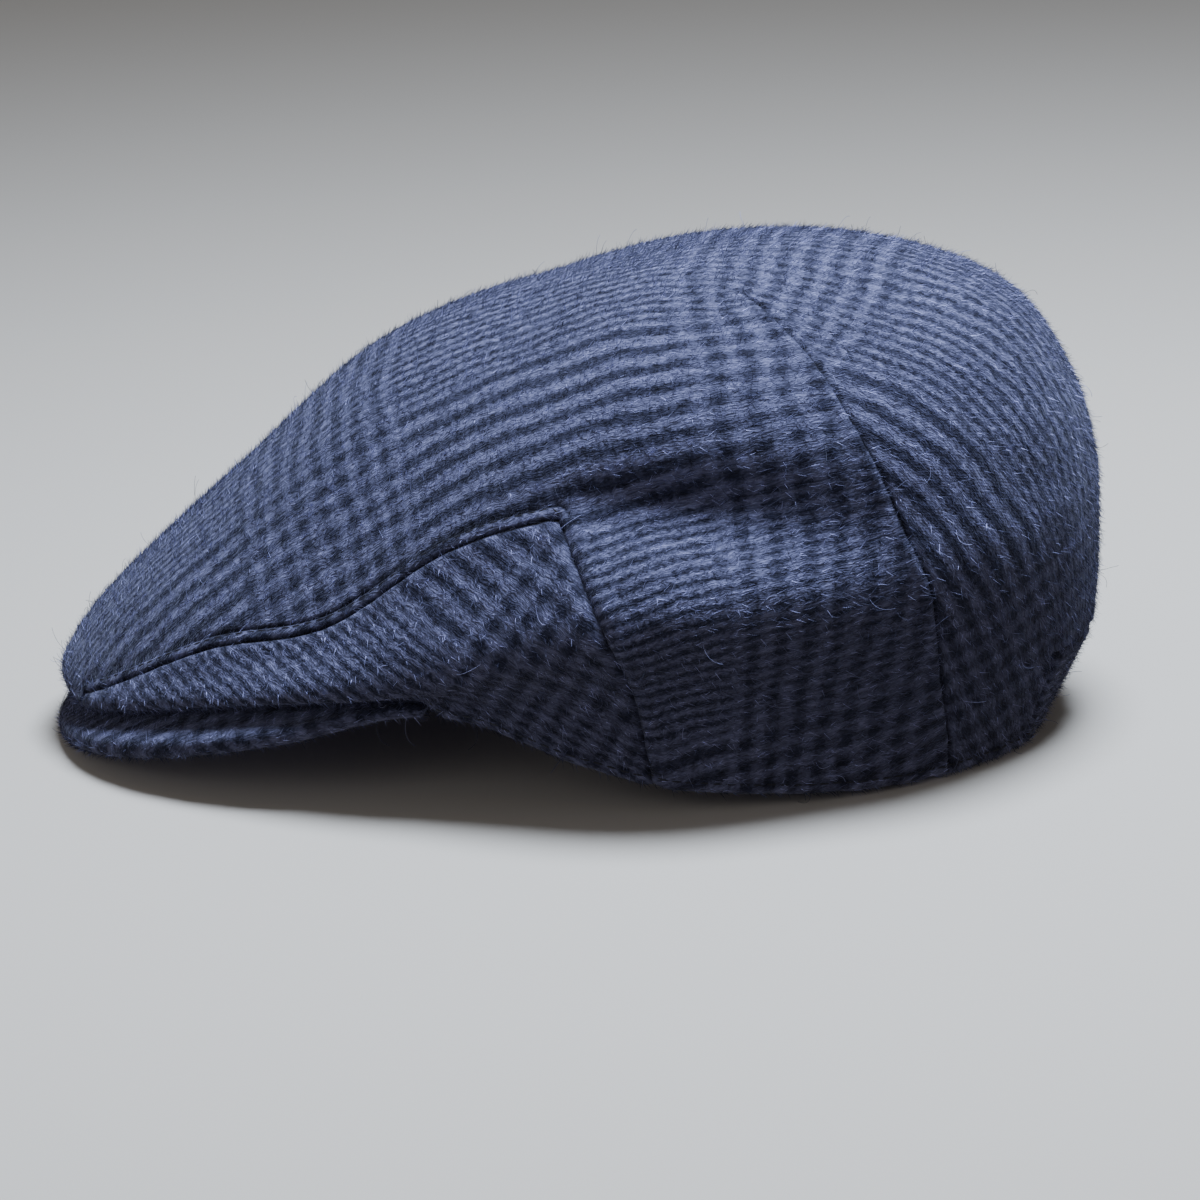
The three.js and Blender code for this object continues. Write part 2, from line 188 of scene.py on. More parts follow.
def peak_thickness_at(turn):
    share = np.minimum(folded(turn) / PEAK_END_TURN, 1)
    return lerp(PEAK_THICKNESS, PEAK_END_THICKNESS, share**3)


def peak_underside(turn, across):
    """The peak's underside, where across is 0 at the forehead and 1 at the outer edge."""
    out = lerp(column(PEAK_STATIONS, "forehead", 0, turn), column(PEAK_STATIONS, "rim", 0, turn), across)
    up = lerp(column(PEAK_STATIONS, "forehead", 1, turn), column(PEAK_STATIONS, "rim", 1, turn), across)
    place = place_of(out, up, turn)
    place[..., 2] += PEAK_CAMBER * 4 * across * (1 - across) * peak_thickness_at(turn) / PEAK_THICKNESS
    return place


def peak_top_under_edge(turn):
    """Height of the peak's top where the crown's edge lies on it."""
    forehead_out = column(PEAK_STATIONS, "forehead", 0, turn)
    rim_out = column(PEAK_STATIONS, "rim", 0, turn)
    across = (column(STATIONS, "edge", 0, turn) - forehead_out) / (rim_out - forehead_out)
    forehead, rim = peak_underside(turn, 0 * across), peak_underside(turn, 0 * across + 1)
    reach = np.hypot(forehead[..., 0] - rim[..., 0], forehead[..., 1] - rim[..., 1])
    slope = (forehead[..., 2] - rim[..., 2]) / reach
    thickness = peak_thickness_at(turn) * np.hypot(1, slope)
    return peak_underside(turn, np.minimum(across, 1))[..., 2] + thickness


def edge_height(turn):
    """Height of the crown's edge: on the peak in front, and by the table behind the temples."""
    side = folded(turn)
    first_rim = next(row.turn for row in STATIONS if len(row.edge) > 1)
    rim_height = np.maximum(0, CROWN_HEIGHT * column(STATIONS, "edge", 1, np.maximum(side, first_rim)))
    on_peak = np.minimum(side, PEAK_END_TURN)
    height = peak_top_under_edge(on_peak) + PEAK_GAP
    share = np.clip((side - on_peak) / (first_rim - PEAK_END_TURN), 0, 1)
    return lerp(height, rim_height, share)


def rib_points(turn):
    """The points that a rib runs through, from the edge to the middle of the top and past it."""
    rings = [place_of(column(STATIONS, name, 0, turn), 0, turn) for name in RINGS]
    rings[0][..., 2] = edge_height(turn)
    for name, ring in zip(RINGS[1:], rings[1:]):
        ring[..., 2] = CROWN_HEIGHT * column(STATIONS, name, 1, turn)
    middle = 0 * rings[0] + np.array([0, 0, CROWN_HEIGHT * MIDDLE_UP])
    before = rings[-1]
    rise = before[..., 2] - 2 * MIDDLE_RISE * before[..., 1]
    past = np.stack([-before[..., 0], -before[..., 1], rise], axis=-1)
    first = 2 * rings[0] - rings[1]
    return np.stack([first, *rings, middle, past], axis=-2)


def on_cloth(turn, level):
    """Points of the undented cloth, on centripetal Catmull-Rom curves along the ribs."""
    turn, level = np.broadcast_arrays(np.asarray(turn, float), np.asarray(level, float))
    points = rib_points(turn)
    k = np.clip(np.floor(level).astype(int), 0, len(RINGS) - 1)
    u = (level - k)[..., None]
    p0, p1, p2, p3 = (np.take_along_axis(points, (k + n)[..., None, None], -2)[..., 0, :] for n in range(4))
    d0, d1, d2 = (
        np.sqrt(np.linalg.norm(b - a, axis=-1, keepdims=True)) for a, b in ((p0, p1), (p1, p2), (p2, p3))
    )
    start = ((p1 - p0) / d0 - (p2 - p0) / (d0 + d1) + (p2 - p1) / d1) * d1
    end = ((p2 - p1) / d1 - (p3 - p1) / (d1 + d2) + (p3 - p2) / d2) * d1
    return p1 + u * start + u**2 * (3 * (p2 - p1) - 2 * start - end) + u**3 * (2 * (p1 - p2) + start + end)


def bell(x):
    return np.exp(-(x**2))


def dent_depth(turn, level):
    """How far the dents push the cloth in at a place on it."""
    side = folded(turn)
    shares = (
        dent.depth
        * bell((side - dent.turn) / dent.turn_reach)
        * bell((level - dent.level) / dent.level_reach)
        for dent in DENTS
    )
    return CAP_WIDTH * sum(shares)


def turn_at_reach(reach, out):
    """The turn from the cap's middle line to a point this far from it, on a ring that is this far out."""
    return math.degrees(math.asin(reach / (CAP_WIDTH / 2 * out)))


FRONT_TAB_TURN = turn_at_reach(FRONT_TAB_REACH, float(column(STATIONS, "seam", 0, 0)))
BAND_TURN = 180 - turn_at_reach(BAND_REACH, float(column(STATIONS, "edge", 0, 180)))


def eased(share):
    """Rises smoothly from 0 to 1 as the share does."""
    share = np.clip(share, 0, 1)
    return share**2 * (3 - 2 * share)


def window(side, middle, front_reach, back_reach):
    """1 at the middle, easing to 0 at each reach."""
    reach = np.where(side < middle, front_reach, back_reach)
    return eased(1 - np.abs(side - middle) / reach)


def dart_turn(level):
    """The dart's turn at a level. Above its point, it is the turn of the point."""
    levels, turns = zip(*DART)
    return smoothed(levels, turns, np.minimum(level, levels[-1]))


def leaning(turn, level):
    """The turn of a column at a level: columns lean along the side seam and along the dart."""
    side = folded(turn)
    front_reach = SIDE_SEAM_TURN - PEAK_END_TURN
    seam_lean = SIDE_SEAM_LEAN * np.maximum(0, SEAM_LEVEL - level)
    lean = seam_lean * window(side, SIDE_SEAM_TURN, front_reach, LEAN_REACH)
    by_dart = window(side, DART_COLUMN, DART_REACH_FRONT, DART_REACH_BACK)
    lean = lean + (dart_turn(level) - DART_COLUMN) * by_dart
    return turn + np.sign(turn) * lean


# The fine grid of the cloth

COLUMN_STEP = 1.25
SEAM_COLUMN_STEP = 0.36
SEAM_COLUMN_REACH = 2.4
SMALLEST_STEP = 1e-9
EASING_PASSES = 26

# The rows between two levels: their step, a finer step near some levels, and how far it reaches from each.
RowBand = namedtuple("RowBand", "start end step fine near")
ROW_BANDS = (
    RowBand(0.0, BAND_LEVEL, 0.045, 0.02, {0.0: 0.1, BAND_LEVEL: 0.05}),
    RowBand(BAND_LEVEL, 1.0, 0.055, 0.02, {BAND_LEVEL: 0.05}),
    RowBand(1.0, SEAM_LEVEL, 0.09, 0.035, {SEAM_LEVEL: 0.14}),
    RowBand(SEAM_LEVEL, 3.0, 0.12, 0.018, {SEAM_LEVEL: 0.24}),
    RowBand(3.0, 4.0, 0.1, 0.1, {}),
    RowBand(4.0, 5.0, 0.07, 0.07, {}),
    RowBand(5.0, POLE_LEVEL, 0.06, 0.06, {}),
)


def spaced(stops, step, fine, near):
    """Numbers through all the stops, a step apart, and closer near the stops that near gives a reach."""
    numbers = [stops[0]]
    for a, b in zip(stops[:-1], stops[1:]):
        after_a, before_b = a + near.get(a, 0), b - near.get(b, 0)
        spans = [(a, after_a, fine), (after_a, before_b, step), (before_b, b, fine)]
        if near.get(a, 0) + near.get(b, 0) >= b - a:
            spans = [(a, b, fine)]
        for start, end, wanted in spans:
            if end - start > SMALLEST_STEP:
                count = max(1, round((end - start) / wanted))
                numbers.extend(np.linspace(start, end, count + 1)[1:])
    return np.array(numbers)


class Cloth:
    """The cloth over the head as a grid of columns and rows, with one more point at the middle."""

    def __init__(self, coarseness):
        seams = (FRONT_TAB_TURN, SIDE_SEAM_TURN, DART_COLUMN, BAND_TURN)
        near = dict.fromkeys(seams, SEAM_COLUMN_REACH)
        steps = (COLUMN_STEP * coarseness, SEAM_COLUMN_STEP * coarseness)
        side = spaced((0.0, *seams, 180.0), *steps, near)
        self.turns = np.concatenate([side, -side[1:-1][::-1]])
        rows = [
            spaced((band.start, band.end), band.step * coarseness, band.fine * coarseness, band.near)[1:]
            for band in ROW_BANDS
        ]
        self.levels = np.concatenate([[0.0], *rows])[:-1]
        self.columns, self.rows = len(self.turns), len(self.levels)
        self.turn, self.level = np.meshgrid(self.turns, self.levels, indexing="ij")
        self.turn = leaning(self.turn, self.level)
        places = on_cloth(self.turn, self.level)
        push = self.normals_of(places)
        push[..., 2] *= np.clip(self.level / FULL_PUSH_LEVEL, 0, 1)
        self.places = places - unit(push) * dent_depth(self.turn, self.level)[..., None]
        self.middle = np.array([0, 0, CROWN_HEIGHT * MIDDLE_UP])
        self.normals = self.normals_of(self.places)
        self.through = self.eased_directions(self.normals, round(EASING_PASSES / coarseness))

    def normals_of(self, places):
        along = np.roll(places, -1, 0) - np.roll(places, 1, 0)
        up = np.gradient(places, axis=1)
        return unit(np.cross(along, up))

    def eased_directions(self, directions, passes):
        """The directions through the cloth, eased so that the wall doesn't fold in tight rolls."""
        for _ in range(passes):
            below = np.concatenate([directions[:, :1], directions[:, :-1]], 1)
            above = np.concatenate([directions[:, 1:], directions[:, -1:]], 1)
            directions = unit(2 * directions + below + above)
        return directions

    def column_of(self, turn):
        return int(np.argmin(np.abs(self.turns - turn)))

    def row_of(self, level):
        return int(np.argmin(np.abs(self.levels - level)))

    def cells(self, piece):
        """Which cells belong to a piece, as a grid of true and false."""
        i, j = np.meshgrid(np.arange(self.columns), np.arange(self.rows), indexing="ij")
        left = i < self.column_of(180.0)
        from_front = np.where(left, i, self.columns - 1 - i)
        tab, side, end = (self.column_of(turn) for turn in (FRONT_TAB_TURN, SIDE_SEAM_TURN, BAND_TURN))
        panel = (from_front >= tab) & (from_front < side) & (j < self.row_of(SEAM_LEVEL))
        band = (from_front >= end) & (j < self.row_of(BAND_LEVEL))
        pieces = {
            "left_side_panel": panel & left,
            "right_side_panel": panel & ~left,
            "back_band": band,
            "crown": ~panel & ~band,
        }
        return pieces[piece]

    def faces(self, cells):
        """The faces of these cells as lists of point numbers. The last point is the middle of the top."""
        i, j = np.nonzero(cells)
        after = (i + 1) % self.columns
        low_left, low_right = i * self.rows + j, after * self.rows + j
        inner = j < self.rows - 1
        quads = np.stack([low_left, low_right, low_right + 1, low_left + 1], 1)[inner]
        middle = np.full((~inner).sum(), self.columns * self.rows)
        triangles = np.stack([low_left[~inner], low_right[~inner], middle], 1)
        return [list(map(int, q)) for q in quads] + [list(map(int, t)) for t in triangles]


# Seam lines on the cloth

SEAM_LINE_STEP = 0.3 * MM


class SeamLine:
    """A line along the cloth that the distance of other places is measured to."""

    def __init__(self, places):
        steps = np.linalg.norm(np.diff(places, axis=0), axis=1)
        passed = np.concatenate([[0], np.cumsum(steps)])
        count = max(2, round(passed[-1] / SEAM_LINE_STEP))
        self.along = np.linspace(0, passed[-1], count)
        self.places = np.stack([np.interp(self.along, passed, places[:, n]) for n in range(3)], axis=1)
        self.tree = kdtree.KDTree(len(self.places))
        for k, place in enumerate(self.places):
            self.tree.insert(place, k)
        self.tree.balance()

    def measure(self, places):
        """The distance of each place to the line, and how far along the line it is."""
        found = [self.tree.find(place) for place in places.reshape(-1, 3)]
        distance = np.array([f[2] for f in found]).reshape(places.shape[:-1])
        along = self.along[[f[1] for f in found]].reshape(places.shape[:-1])
        return distance, along


def up_the_rib(outer, i, j, distance):
    """The place that lies this far up the rib from a grid point, on the outer surface."""
    rib = outer[i, j:]
    length = np.concatenate([[0], np.cumsum(np.linalg.norm(np.diff(rib, axis=0), axis=1))])
    return np.array([np.interp(distance, length, rib[:, n]) for n in range(3)])


# Relief of the seams


SeamProfile = namedtuple("SeamProfile", "groove groove_reach ridge ridge_place ridge_reach")
TOPSTITCH_SPACING = 3.2 * MM  # from the seam up to the row of stitches
STITCH_GROOVE = 0.75 * MM
STITCH_GROOVE_REACH = 0.42 * MM
CROWN_BY_SEAM = SeamProfile(1.0 * MM, 0.34 * MM, 0.4 * MM, 1.6 * MM, 1.4 * MM)
PANEL_BY_SEAM = SeamProfile(1.0 * MM, 0.4 * MM, 0.4 * MM, 2.6 * MM, 2.0 * MM)
BY_SIDE_SEAM = SeamProfile(0.8 * MM, 0.9 * MM, 0.6 * MM, 3.2 * MM, 2.4 * MM)
BY_DART = SeamProfile(1.0 * MM, 0.5 * MM, 0.5 * MM, 2.0 * MM, 1.4 * MM)
BY_BAND = SeamProfile(0.9 * MM, 0.6 * MM, 0.5 * MM, 2.2 * MM, 1.5 * MM)
BY_RIM = SeamProfile(0.9 * MM, 0.7 * MM, 0.5 * MM, 1.8 * MM, 1.2 * MM)
HEM_SPACING = 3.6 * MM

# Puckers across a seam: how high, how far from the seam they reach, and how far apart they are.
Pucker = namedtuple("Pucker", "height reach spacing seed")
SIDE_SEAM_PUCKER = Pucker(0.45 * MM, 7 * MM, 6.5 * MM, 3.0)
DART_PUCKER = Pucker(0.22 * MM, 6 * MM, 8.0 * MM, 11.0)
TOP_SEAM_PUCKER = Pucker(0.16 * MM, 5 * MM, 9.0 * MM, 23.0)
RIM_PUCKER = Pucker(0.3 * MM, 14 * MM, 15.0 * MM, 31.0)
BAND_PUCKER = Pucker(0.5 * MM, 12 * MM, 12.0 * MM, 41.0)


def across_seam(distance, profile):
    """How far the cloth stands out beside a seam: a groove on the line and a soft ridge beside it."""
    ridge = profile.ridge * bell((distance - profile.ridge_place) / profile.ridge_reach)
    return ridge - profile.groove * bell(distance / profile.groove_reach)


# Each pucker has a second, closer wave, and a slow one that makes them uneven in height.
SECOND_WAVE = 0.6
SECOND_PACE = 1.7
SLOW_PACE = 0.37
EVENNESS = 0.6


def puckers(distance, along, pucker):
    """Small waves along a seam, uneven in height, that die away from it."""
    phase = 2 * np.pi * along / pucker.spacing
    wave = np.sin(phase + pucker.seed) + SECOND_WAVE * np.sin(SECOND_PACE * phase + 2 * pucker.seed)
    wave = wave * (EVENNESS + (1 - EVENNESS) * np.sin(SLOW_PACE * phase + pucker.seed))
    return pucker.height * wave * np.exp(-distance / pucker.reach)


SOFTNESS_HEIGHT = 0.5 * MM
SOFTNESS_SCALE = 34 * MM


def softness(places):
    """The slight unevenness of steamed wool, as a height at each place."""
    flat = places.reshape(-1, 3) / SOFTNESS_SCALE
    heights = [noise.noise(Vector(place)) for place in flat]
    return SOFTNESS_HEIGHT * np.array(heights).reshape(places.shape[:-1])


def seam_lines(cloth):
    """The seams of one side and of the other, by name, each as a list of two lines."""
    top = cloth.row_of(SEAM_LEVEL)
    band = cloth.row_of(BAND_LEVEL)
    dart_top = cloth.row_of(DART[-1].level)
    past_peak = [i for i in range(cloth.columns) if folded(cloth.turn[i, 0]) > PEAK_END_TURN]
    lines = {"top_seam": [], "side_seam": [], "dart": [], "rim": [], "band": []}
    for sign in (1, -1):
        tab, side = (cloth.column_of(sign * t) for t in (FRONT_TAB_TURN, SIDE_SEAM_TURN))
        dart, end, back = (cloth.column_of(t) for t in (sign * DART_COLUMN, sign * BAND_TURN, 180.0))
        front_edge = cloth.places[tab, :top]
        seam = cloth.places[list(range(tab, side + sign, sign)), top]
        lines["top_seam"].append(SeamLine(np.concatenate([front_edge, seam])))
        lines["side_seam"].append(SeamLine(cloth.places[side, : top + 1]))
        lines["dart"].append(SeamLine(cloth.places[dart, : dart_top + 1]))
        lines["rim"].append(SeamLine(cloth.places[[i for i in past_peak if cloth.turns[i] * sign > 0], 0]))
        upward = cloth.places[end, : band + 1]
        over = cloth.places[list(range(end, back + sign, sign)), band]
        lines["band"].append(SeamLine(np.concatenate([upward, over])))
    return lines


# Crease weights: how far one reaches from a seam line, and its share at the side seam and the hem row. The
# wool is painted darker by this weight, as painted shade in the grooves.
CREASE_REACH = 0.45 * MM
SIDE_SEAM_CREASE = 0.5
HEM_CREASE = 0.5
HEM_GROOVE = 0.5 * STITCH_GROOVE
TOPSTITCH_TOP_LEVEL = 3.5


def relief(cloth, lines, piece):
    """How far a piece's points stand out from the plain cloth, and how deep in a crease each is, to 1. The
    crease weight sets the painted shade of the wool and thins the nap.
    """
    height = softness(cloth.places)
    left = cloth.turns[:, None] * np.ones(cloth.rows) > 0

    def measured(name):
        there = [line.measure(cloth.places) for line in lines[name]]
        return (np.where(left, there[0][n], there[1][n]) for n in range(2))

    by_top, along_top = measured("top_seam")
    by_side, along_side = measured("side_seam")
    by_rim, along_rim = measured("rim")
    behind_peak = folded(cloth.turn) > PEAK_END_TURN
    hem_row = bell((by_rim - HEM_SPACING) / STITCH_GROOVE_REACH)
    hem = across_seam(by_rim, BY_RIM) - HEM_GROOVE * hem_row + puckers(by_rim, along_rim, RIM_PUCKER)
    height = height + np.where(behind_peak, hem, 0)
    height = height + across_seam(by_side, BY_SIDE_SEAM) + puckers(by_side, along_side, SIDE_SEAM_PUCKER)
    height = height + puckers(by_top, along_top, TOP_SEAM_PUCKER)
    creases = [bell(by_top / CREASE_REACH), SIDE_SEAM_CREASE * bell(by_side / CREASE_REACH)]
    creases.append(np.where(behind_peak, HEM_CREASE * hem_row, 0))
    if "panel" in piece:
        return height + across_seam(by_top, PANEL_BY_SEAM), np.max(creases, axis=0)
    by_band, along_band = measured("band")
    height = height + across_seam(by_band, BY_BAND) + puckers(by_band, along_band, BAND_PUCKER)
    creases.append(bell(by_band / CREASE_REACH))
    if piece == "back_band":
        return height, np.max(creases, axis=0)
    by_dart, along_dart = measured("dart")
    before_dart = folded(cloth.turns)[:, None] < DART_COLUMN
    beside = across_seam(by_dart, BY_DART)
    height = height + np.where(before_dart, beside, np.minimum(beside, 0))
    height = height + puckers(by_dart, along_dart, DART_PUCKER)
    stitch_row = bell((by_top - TOPSTITCH_SPACING) / STITCH_GROOVE_REACH)
    topstitch = across_seam(by_top, CROWN_BY_SEAM) - STITCH_GROOVE * stitch_row
    near_seam = cloth.level < TOPSTITCH_TOP_LEVEL
    height = height + np.where(near_seam, topstitch, 0)
    creases += [bell(by_dart / CREASE_REACH), np.where(near_seam, stitch_row, 0)]
    return height, np.max(creases, axis=0)


# Cloth laid out flat


def new_object(name, mesh):
    piece = bpy.data.objects.new(name, mesh)
    bpy.context.scene.collection.objects.link(piece)
    return piece


def read(items, name, kind, size=1):
    """A value of every item, such as each point's place, as an array with a row for each item."""
    values = np.zeros(len(items) * size, kind)
    items.foreach_get(name, values)
    return values if size == 1 else values.reshape(-1, size).astype(float)


def area_of(corners):
    """The area of a flat polygon."""
    x, y = corners[:, 0], corners[:, 1]
    return 0.5 * abs(np.dot(x, np.roll(y, -1)) - np.dot(y, np.roll(x, -1)))


def laid_flat(places, faces, cuts):
    """The corners of the faces on the flat cloth before it was sewn, in metres, in any position."""
    mesh = bpy.data.meshes.new("flat")
    mesh.from_pydata(places.tolist(), [], faces)
    for edge in mesh.edges:
        edge.use_seam = frozenset(edge.vertices) in cuts
    piece = new_object("flat", mesh)
    for other in bpy.context.selected_objects:
        other.select_set(False)
    bpy.context.view_layer.objects.active = piece
    piece.select_set(True)
    bpy.ops.object.mode_set(mode="EDIT")
    bpy.ops.mesh.select_all(action="SELECT")
    bpy.ops.uv.unwrap(method="MINIMUM_STRETCH", margin=0.0, iterations=20)
    bpy.ops.object.mode_set(mode="OBJECT")
    corners = read(mesh.uv_layers.active.uv, "vector", np.float32, 2)
    spans = [slice(face.loop_start, face.loop_start + face.loop_total) for face in mesh.polygons]
    flat_area = sum(area_of(corners[span]) for span in spans)
    real_area = sum(face.area for face in mesh.polygons)
    points = read(mesh.loops, "vertex_index", np.int32)
    bpy.data.objects.remove(piece)
    bpy.data.meshes.remove(mesh)
    return corners * math.sqrt(real_area / flat_area), points, real_area


def turned_to(corners, origin, ahead, beside):
    """The layout from the origin, turned so that ahead is on the first axis and beside is up the second."""
    first = (ahead - origin) / np.linalg.norm(ahead - origin)
    second = np.array([-first[1], first[0]])
    if second @ (beside - origin) < 0:
        second = -second
    return np.stack([(corners - origin) @ first, (corners - origin) @ second], axis=1)


# Walls of cloth


def free_edges(faces):
    """The directed edges that only one face has."""
    edges = {(a, b) for face in faces for a, b in zip(face, face[1:] + face[:1])}
    return [(a, b) for a, b in edges if (b, a) not in edges]


def set_map(mesh, name, corners):
    layer = mesh.uv_layers.new(name=name)
    layer.uv.foreach_set("vector", corners.astype(np.float32).ravel())


def keep(mesh, name, domain, values):
    """Keeps numbers or vectors on the mesh under a name, where materials and nap find them."""
    values = np.asarray(values, np.float32)
    kind, part = ("FLOAT", "value") if values.ndim == 1 else ("FLOAT_VECTOR", "vector")
    mesh.attributes.new(name, kind, domain).data.foreach_set(part, values.ravel())


def wall_of(name, outer, inner, faces, corners, crease):
    """A closed wall with these outer faces, and the flat cloth's places as its UV map."""
    used = sorted({k for face in faces for k in face})
    number = {k: n for n, k in enumerate(used)}
    count = len(used)
    places = np.concatenate([outer[used], inner[used]])
    outside = [[number[k] for k in face] for face in faces]
    inside = [[n + count for n in reversed(face)] for face in outside]
    at = {}
    start = 0
    maps = []
    for face in faces:
        here = corners[start : start + len(face)]
        at.update(zip(face, here))
        maps.append(here)
        start += len(face)
    rims = free_edges(faces)
    rim_faces = [[number[b], number[a], number[a] + count, number[b] + count] for a, b in rims]
    rim_maps = [np.array([at[b], at[a], at[a], at[b]]) for a, b in rims]
    mesh = bpy.data.meshes.new(name)
    mesh.from_pydata(places.tolist(), [], outside + inside + rim_faces)
    set_map(mesh, "cloth", np.concatenate([*maps, *(here[::-1] for here in maps), *rim_maps]))
    mesh.shade_smooth()
    marks = np.repeat([1.0, 0.0], [len(outside), len(inside) + len(rims)])
    finish_cloth(mesh, marks, np.concatenate([crease[used], np.zeros(count)]))
    sharpen_rims(mesh, [number[a] for a, b in rims], count)
    return new_object(name, mesh)


def finish_cloth(mesh, outside, crease):
    """Keeps which faces nap grows on, how the nap lies, and how deep each point is in a crease, where the
    wool is painted with painted shade and grows fewer fibres.
    """
    keep(mesh, "outside", "FACE", outside)
    keep(mesh, "lie", "POINT", lie_of(mesh))
    keep(mesh, "crease", "POINT", crease)


SHORTEST = 1e-12


def lie_of(mesh):
    """The direction that the first axis of the flat cloth takes at each point, which the nap follows."""
    places = read(mesh.vertices, "co", np.float32, 3)
    points = read(mesh.loops, "vertex_index", np.int32)
    flat = read(mesh.uv_layers["cloth"].uv, "vector", np.float32, 2)
    start = read(mesh.polygons, "loop_start", np.int32)
    edges = [places[points[start + n]] - places[points[start]] for n in (1, 2)]
    steps = [flat[start + n] - flat[start] for n in (1, 2)]
    size = steps[0][:, 0] * steps[1][:, 1] - steps[1][:, 0] * steps[0][:, 1]
    along = edges[0] * steps[1][:, 1:] - edges[1] * steps[0][:, 1:]
    along *= np.sign(size)[:, None]
    along /= np.maximum(np.linalg.norm(along, axis=1, keepdims=True), SHORTEST)
    lie = np.zeros_like(places)
    for n in range(3):
        np.add.at(lie, points[start + n], along)
    return lie / np.maximum(np.linalg.norm(lie, axis=1, keepdims=True), SHORTEST)


def sharpen_rims(mesh, rim_points, count):
    """Keeps the shading of the inner face apart from that of the rim, which is cut or folded there."""
    inner = {n + count for n in rim_points}
    for edge in mesh.edges:
        a, b = edge.vertices
        edge.use_edge_sharp = a in inner and b in inner


def eased_ramp(x, start, reach):
    """Level before the start, and a slope of 1 once past the reach."""
    share = np.clip((x - start) / reach, 0, 1)
    return reach * (share**3 - share**4 / 2) + np.maximum(0, x - start - reach)


def plain_grain(corners):
    return corners


def panel_grain(corners):
    """The side panels are cut on the bias, from a part of the check with broad stripes one way."""
    sine, cosine = math.sin(PANEL_BIAS), math.cos(PANEL_BIAS)
    return corners @ np.array([[cosine, -sine], [sine, cosine]]) + np.array(PANEL_CUT)


# How the crown's threads stray from straight lines. On its flat cloth, the first axis runs back from
# the middle of the top and the second to the side. They lean back or rise with a slope that eases in
# from a start over a reach.
Bend = namedtuple("Bend", "slope start reach")
MIDDLE_STRIP = 20 * MM
WING_LINE = 50 * MM
DART_START = 70 * MM
DART_EASING = 20 * MM
EVEN_LEAN = 0.1
BACK_LEAN = Bend(0.22, 10 * MM, 70 * MM)
WING_LEAN = Bend(0.4, 55 * MM, 115 * MM)
EVEN_RISE = 0.04
RISES = (Bend(0.22, -30 * MM, 60 * MM), Bend(-0.48, 58 * MM, 50 * MM), Bend(-0.2, 130 * MM, 50 * MM))
STRAIGHT_MIDDLE = 30 * MM


def crown_grain(corners):
    """Where the crown's threads lie: the wool is shaped, so they turn on the wings and behind the darts."""
    u, v = corners[:, 0], corners[:, 1]
    side = np.abs(v)
    behind_dart = eased((u - DART_START) / DART_EASING)
    away = np.hypot(v, MIDDLE_STRIP) - MIDDLE_STRIP
    reach = np.minimum(away, WING_LINE) + behind_dart * np.maximum(away - WING_LINE, 0)
    lean = EVEN_LEAN * away - BACK_LEAN.slope * reach * eased((u - BACK_LEAN.start) / BACK_LEAN.reach)
    lean = lean + WING_LEAN.slope * (1 - behind_dart) * eased_ramp(side, WING_LEAN.start, WING_LEAN.reach)
    rise = EVEN_RISE * u
    for bend in RISES:
        rise = rise + bend.slope * eased_ramp(u, bend.start, bend.reach)
    rise = rise * (1 - bell(side / STRAIGHT_MIDDLE))
    return np.stack([u + lean, np.sign(v) * (side - rise)], axis=1)


def cloth_piece(name, origin, ahead, beside, cuts=frozenset(), grain=plain_grain):
    """Makes a piece of the cloth over the head. Three grid points set how it lies on the flat cloth."""
    cloth = the_cloth()
    faces = cloth.faces(cloth.cells(name))
    plain = np.concatenate([cloth.places.reshape(-1, 3), [cloth.middle]])
    corners, points, area = laid_flat(plain, faces, cuts)
    at = dict(zip(points.tolist(), corners))
    corners = turned_to(corners, at[origin], at[ahead], at[beside])
    height, crease = relief_of(name)
    outer = cloth.places + cloth.normals * height[..., None]
    inner = cloth.places - cloth.through * CLOTH_THICKNESS
    middle_height = float(softness(cloth.middle[None])[0])
    outer = np.concatenate([outer.reshape(-1, 3), [cloth.middle + UP * middle_height]])
    inner = np.concatenate([inner.reshape(-1, 3), [cloth.middle - UP * CLOTH_THICKNESS]])
    crease = np.concatenate([crease.ravel(), [0]])
    piece = wall_of(name + "_cloth", outer, inner, faces, grain(corners), crease)
    place_piece(piece, wool_of_cap(), name)


# The peak

PEAK_ACROSS_STEPS = 26
NOSE_STEPS = 16
PEAK_SECTIONS = 150
PEAK_SOFTNESS = 0.5


def peak_section(turn):
    """A closed loop of places across the peak: from the forehead under it, round its nose and back."""
    thickness = float(peak_thickness_at(turn))
    radius = thickness / 2
    turn_here = np.full(PEAK_ACROSS_STEPS + 1, float(turn))
    ends = peak_underside(turn_here[:2], np.array([0.0, 1.0]))
    reach = np.linalg.norm(ends[1] - ends[0])
    low = peak_underside(turn_here, np.linspace(0, 1 - radius / reach, PEAK_ACROSS_STEPS + 1))
    out = low[-1] - low[-2]
    out /= np.linalg.norm(out)
    up = UP - out * (UP @ out)
    up /= np.linalg.norm(up)
    centre = low[-1] + up * radius
    angles = np.linspace(0, np.pi, NOSE_STEPS + 1)[1:-1, None]
    nose = centre - up * radius * np.cos(angles) + out * radius * np.sin(angles)
    high = (low + up * thickness)[::-1]
    return np.concatenate([low, nose, high])


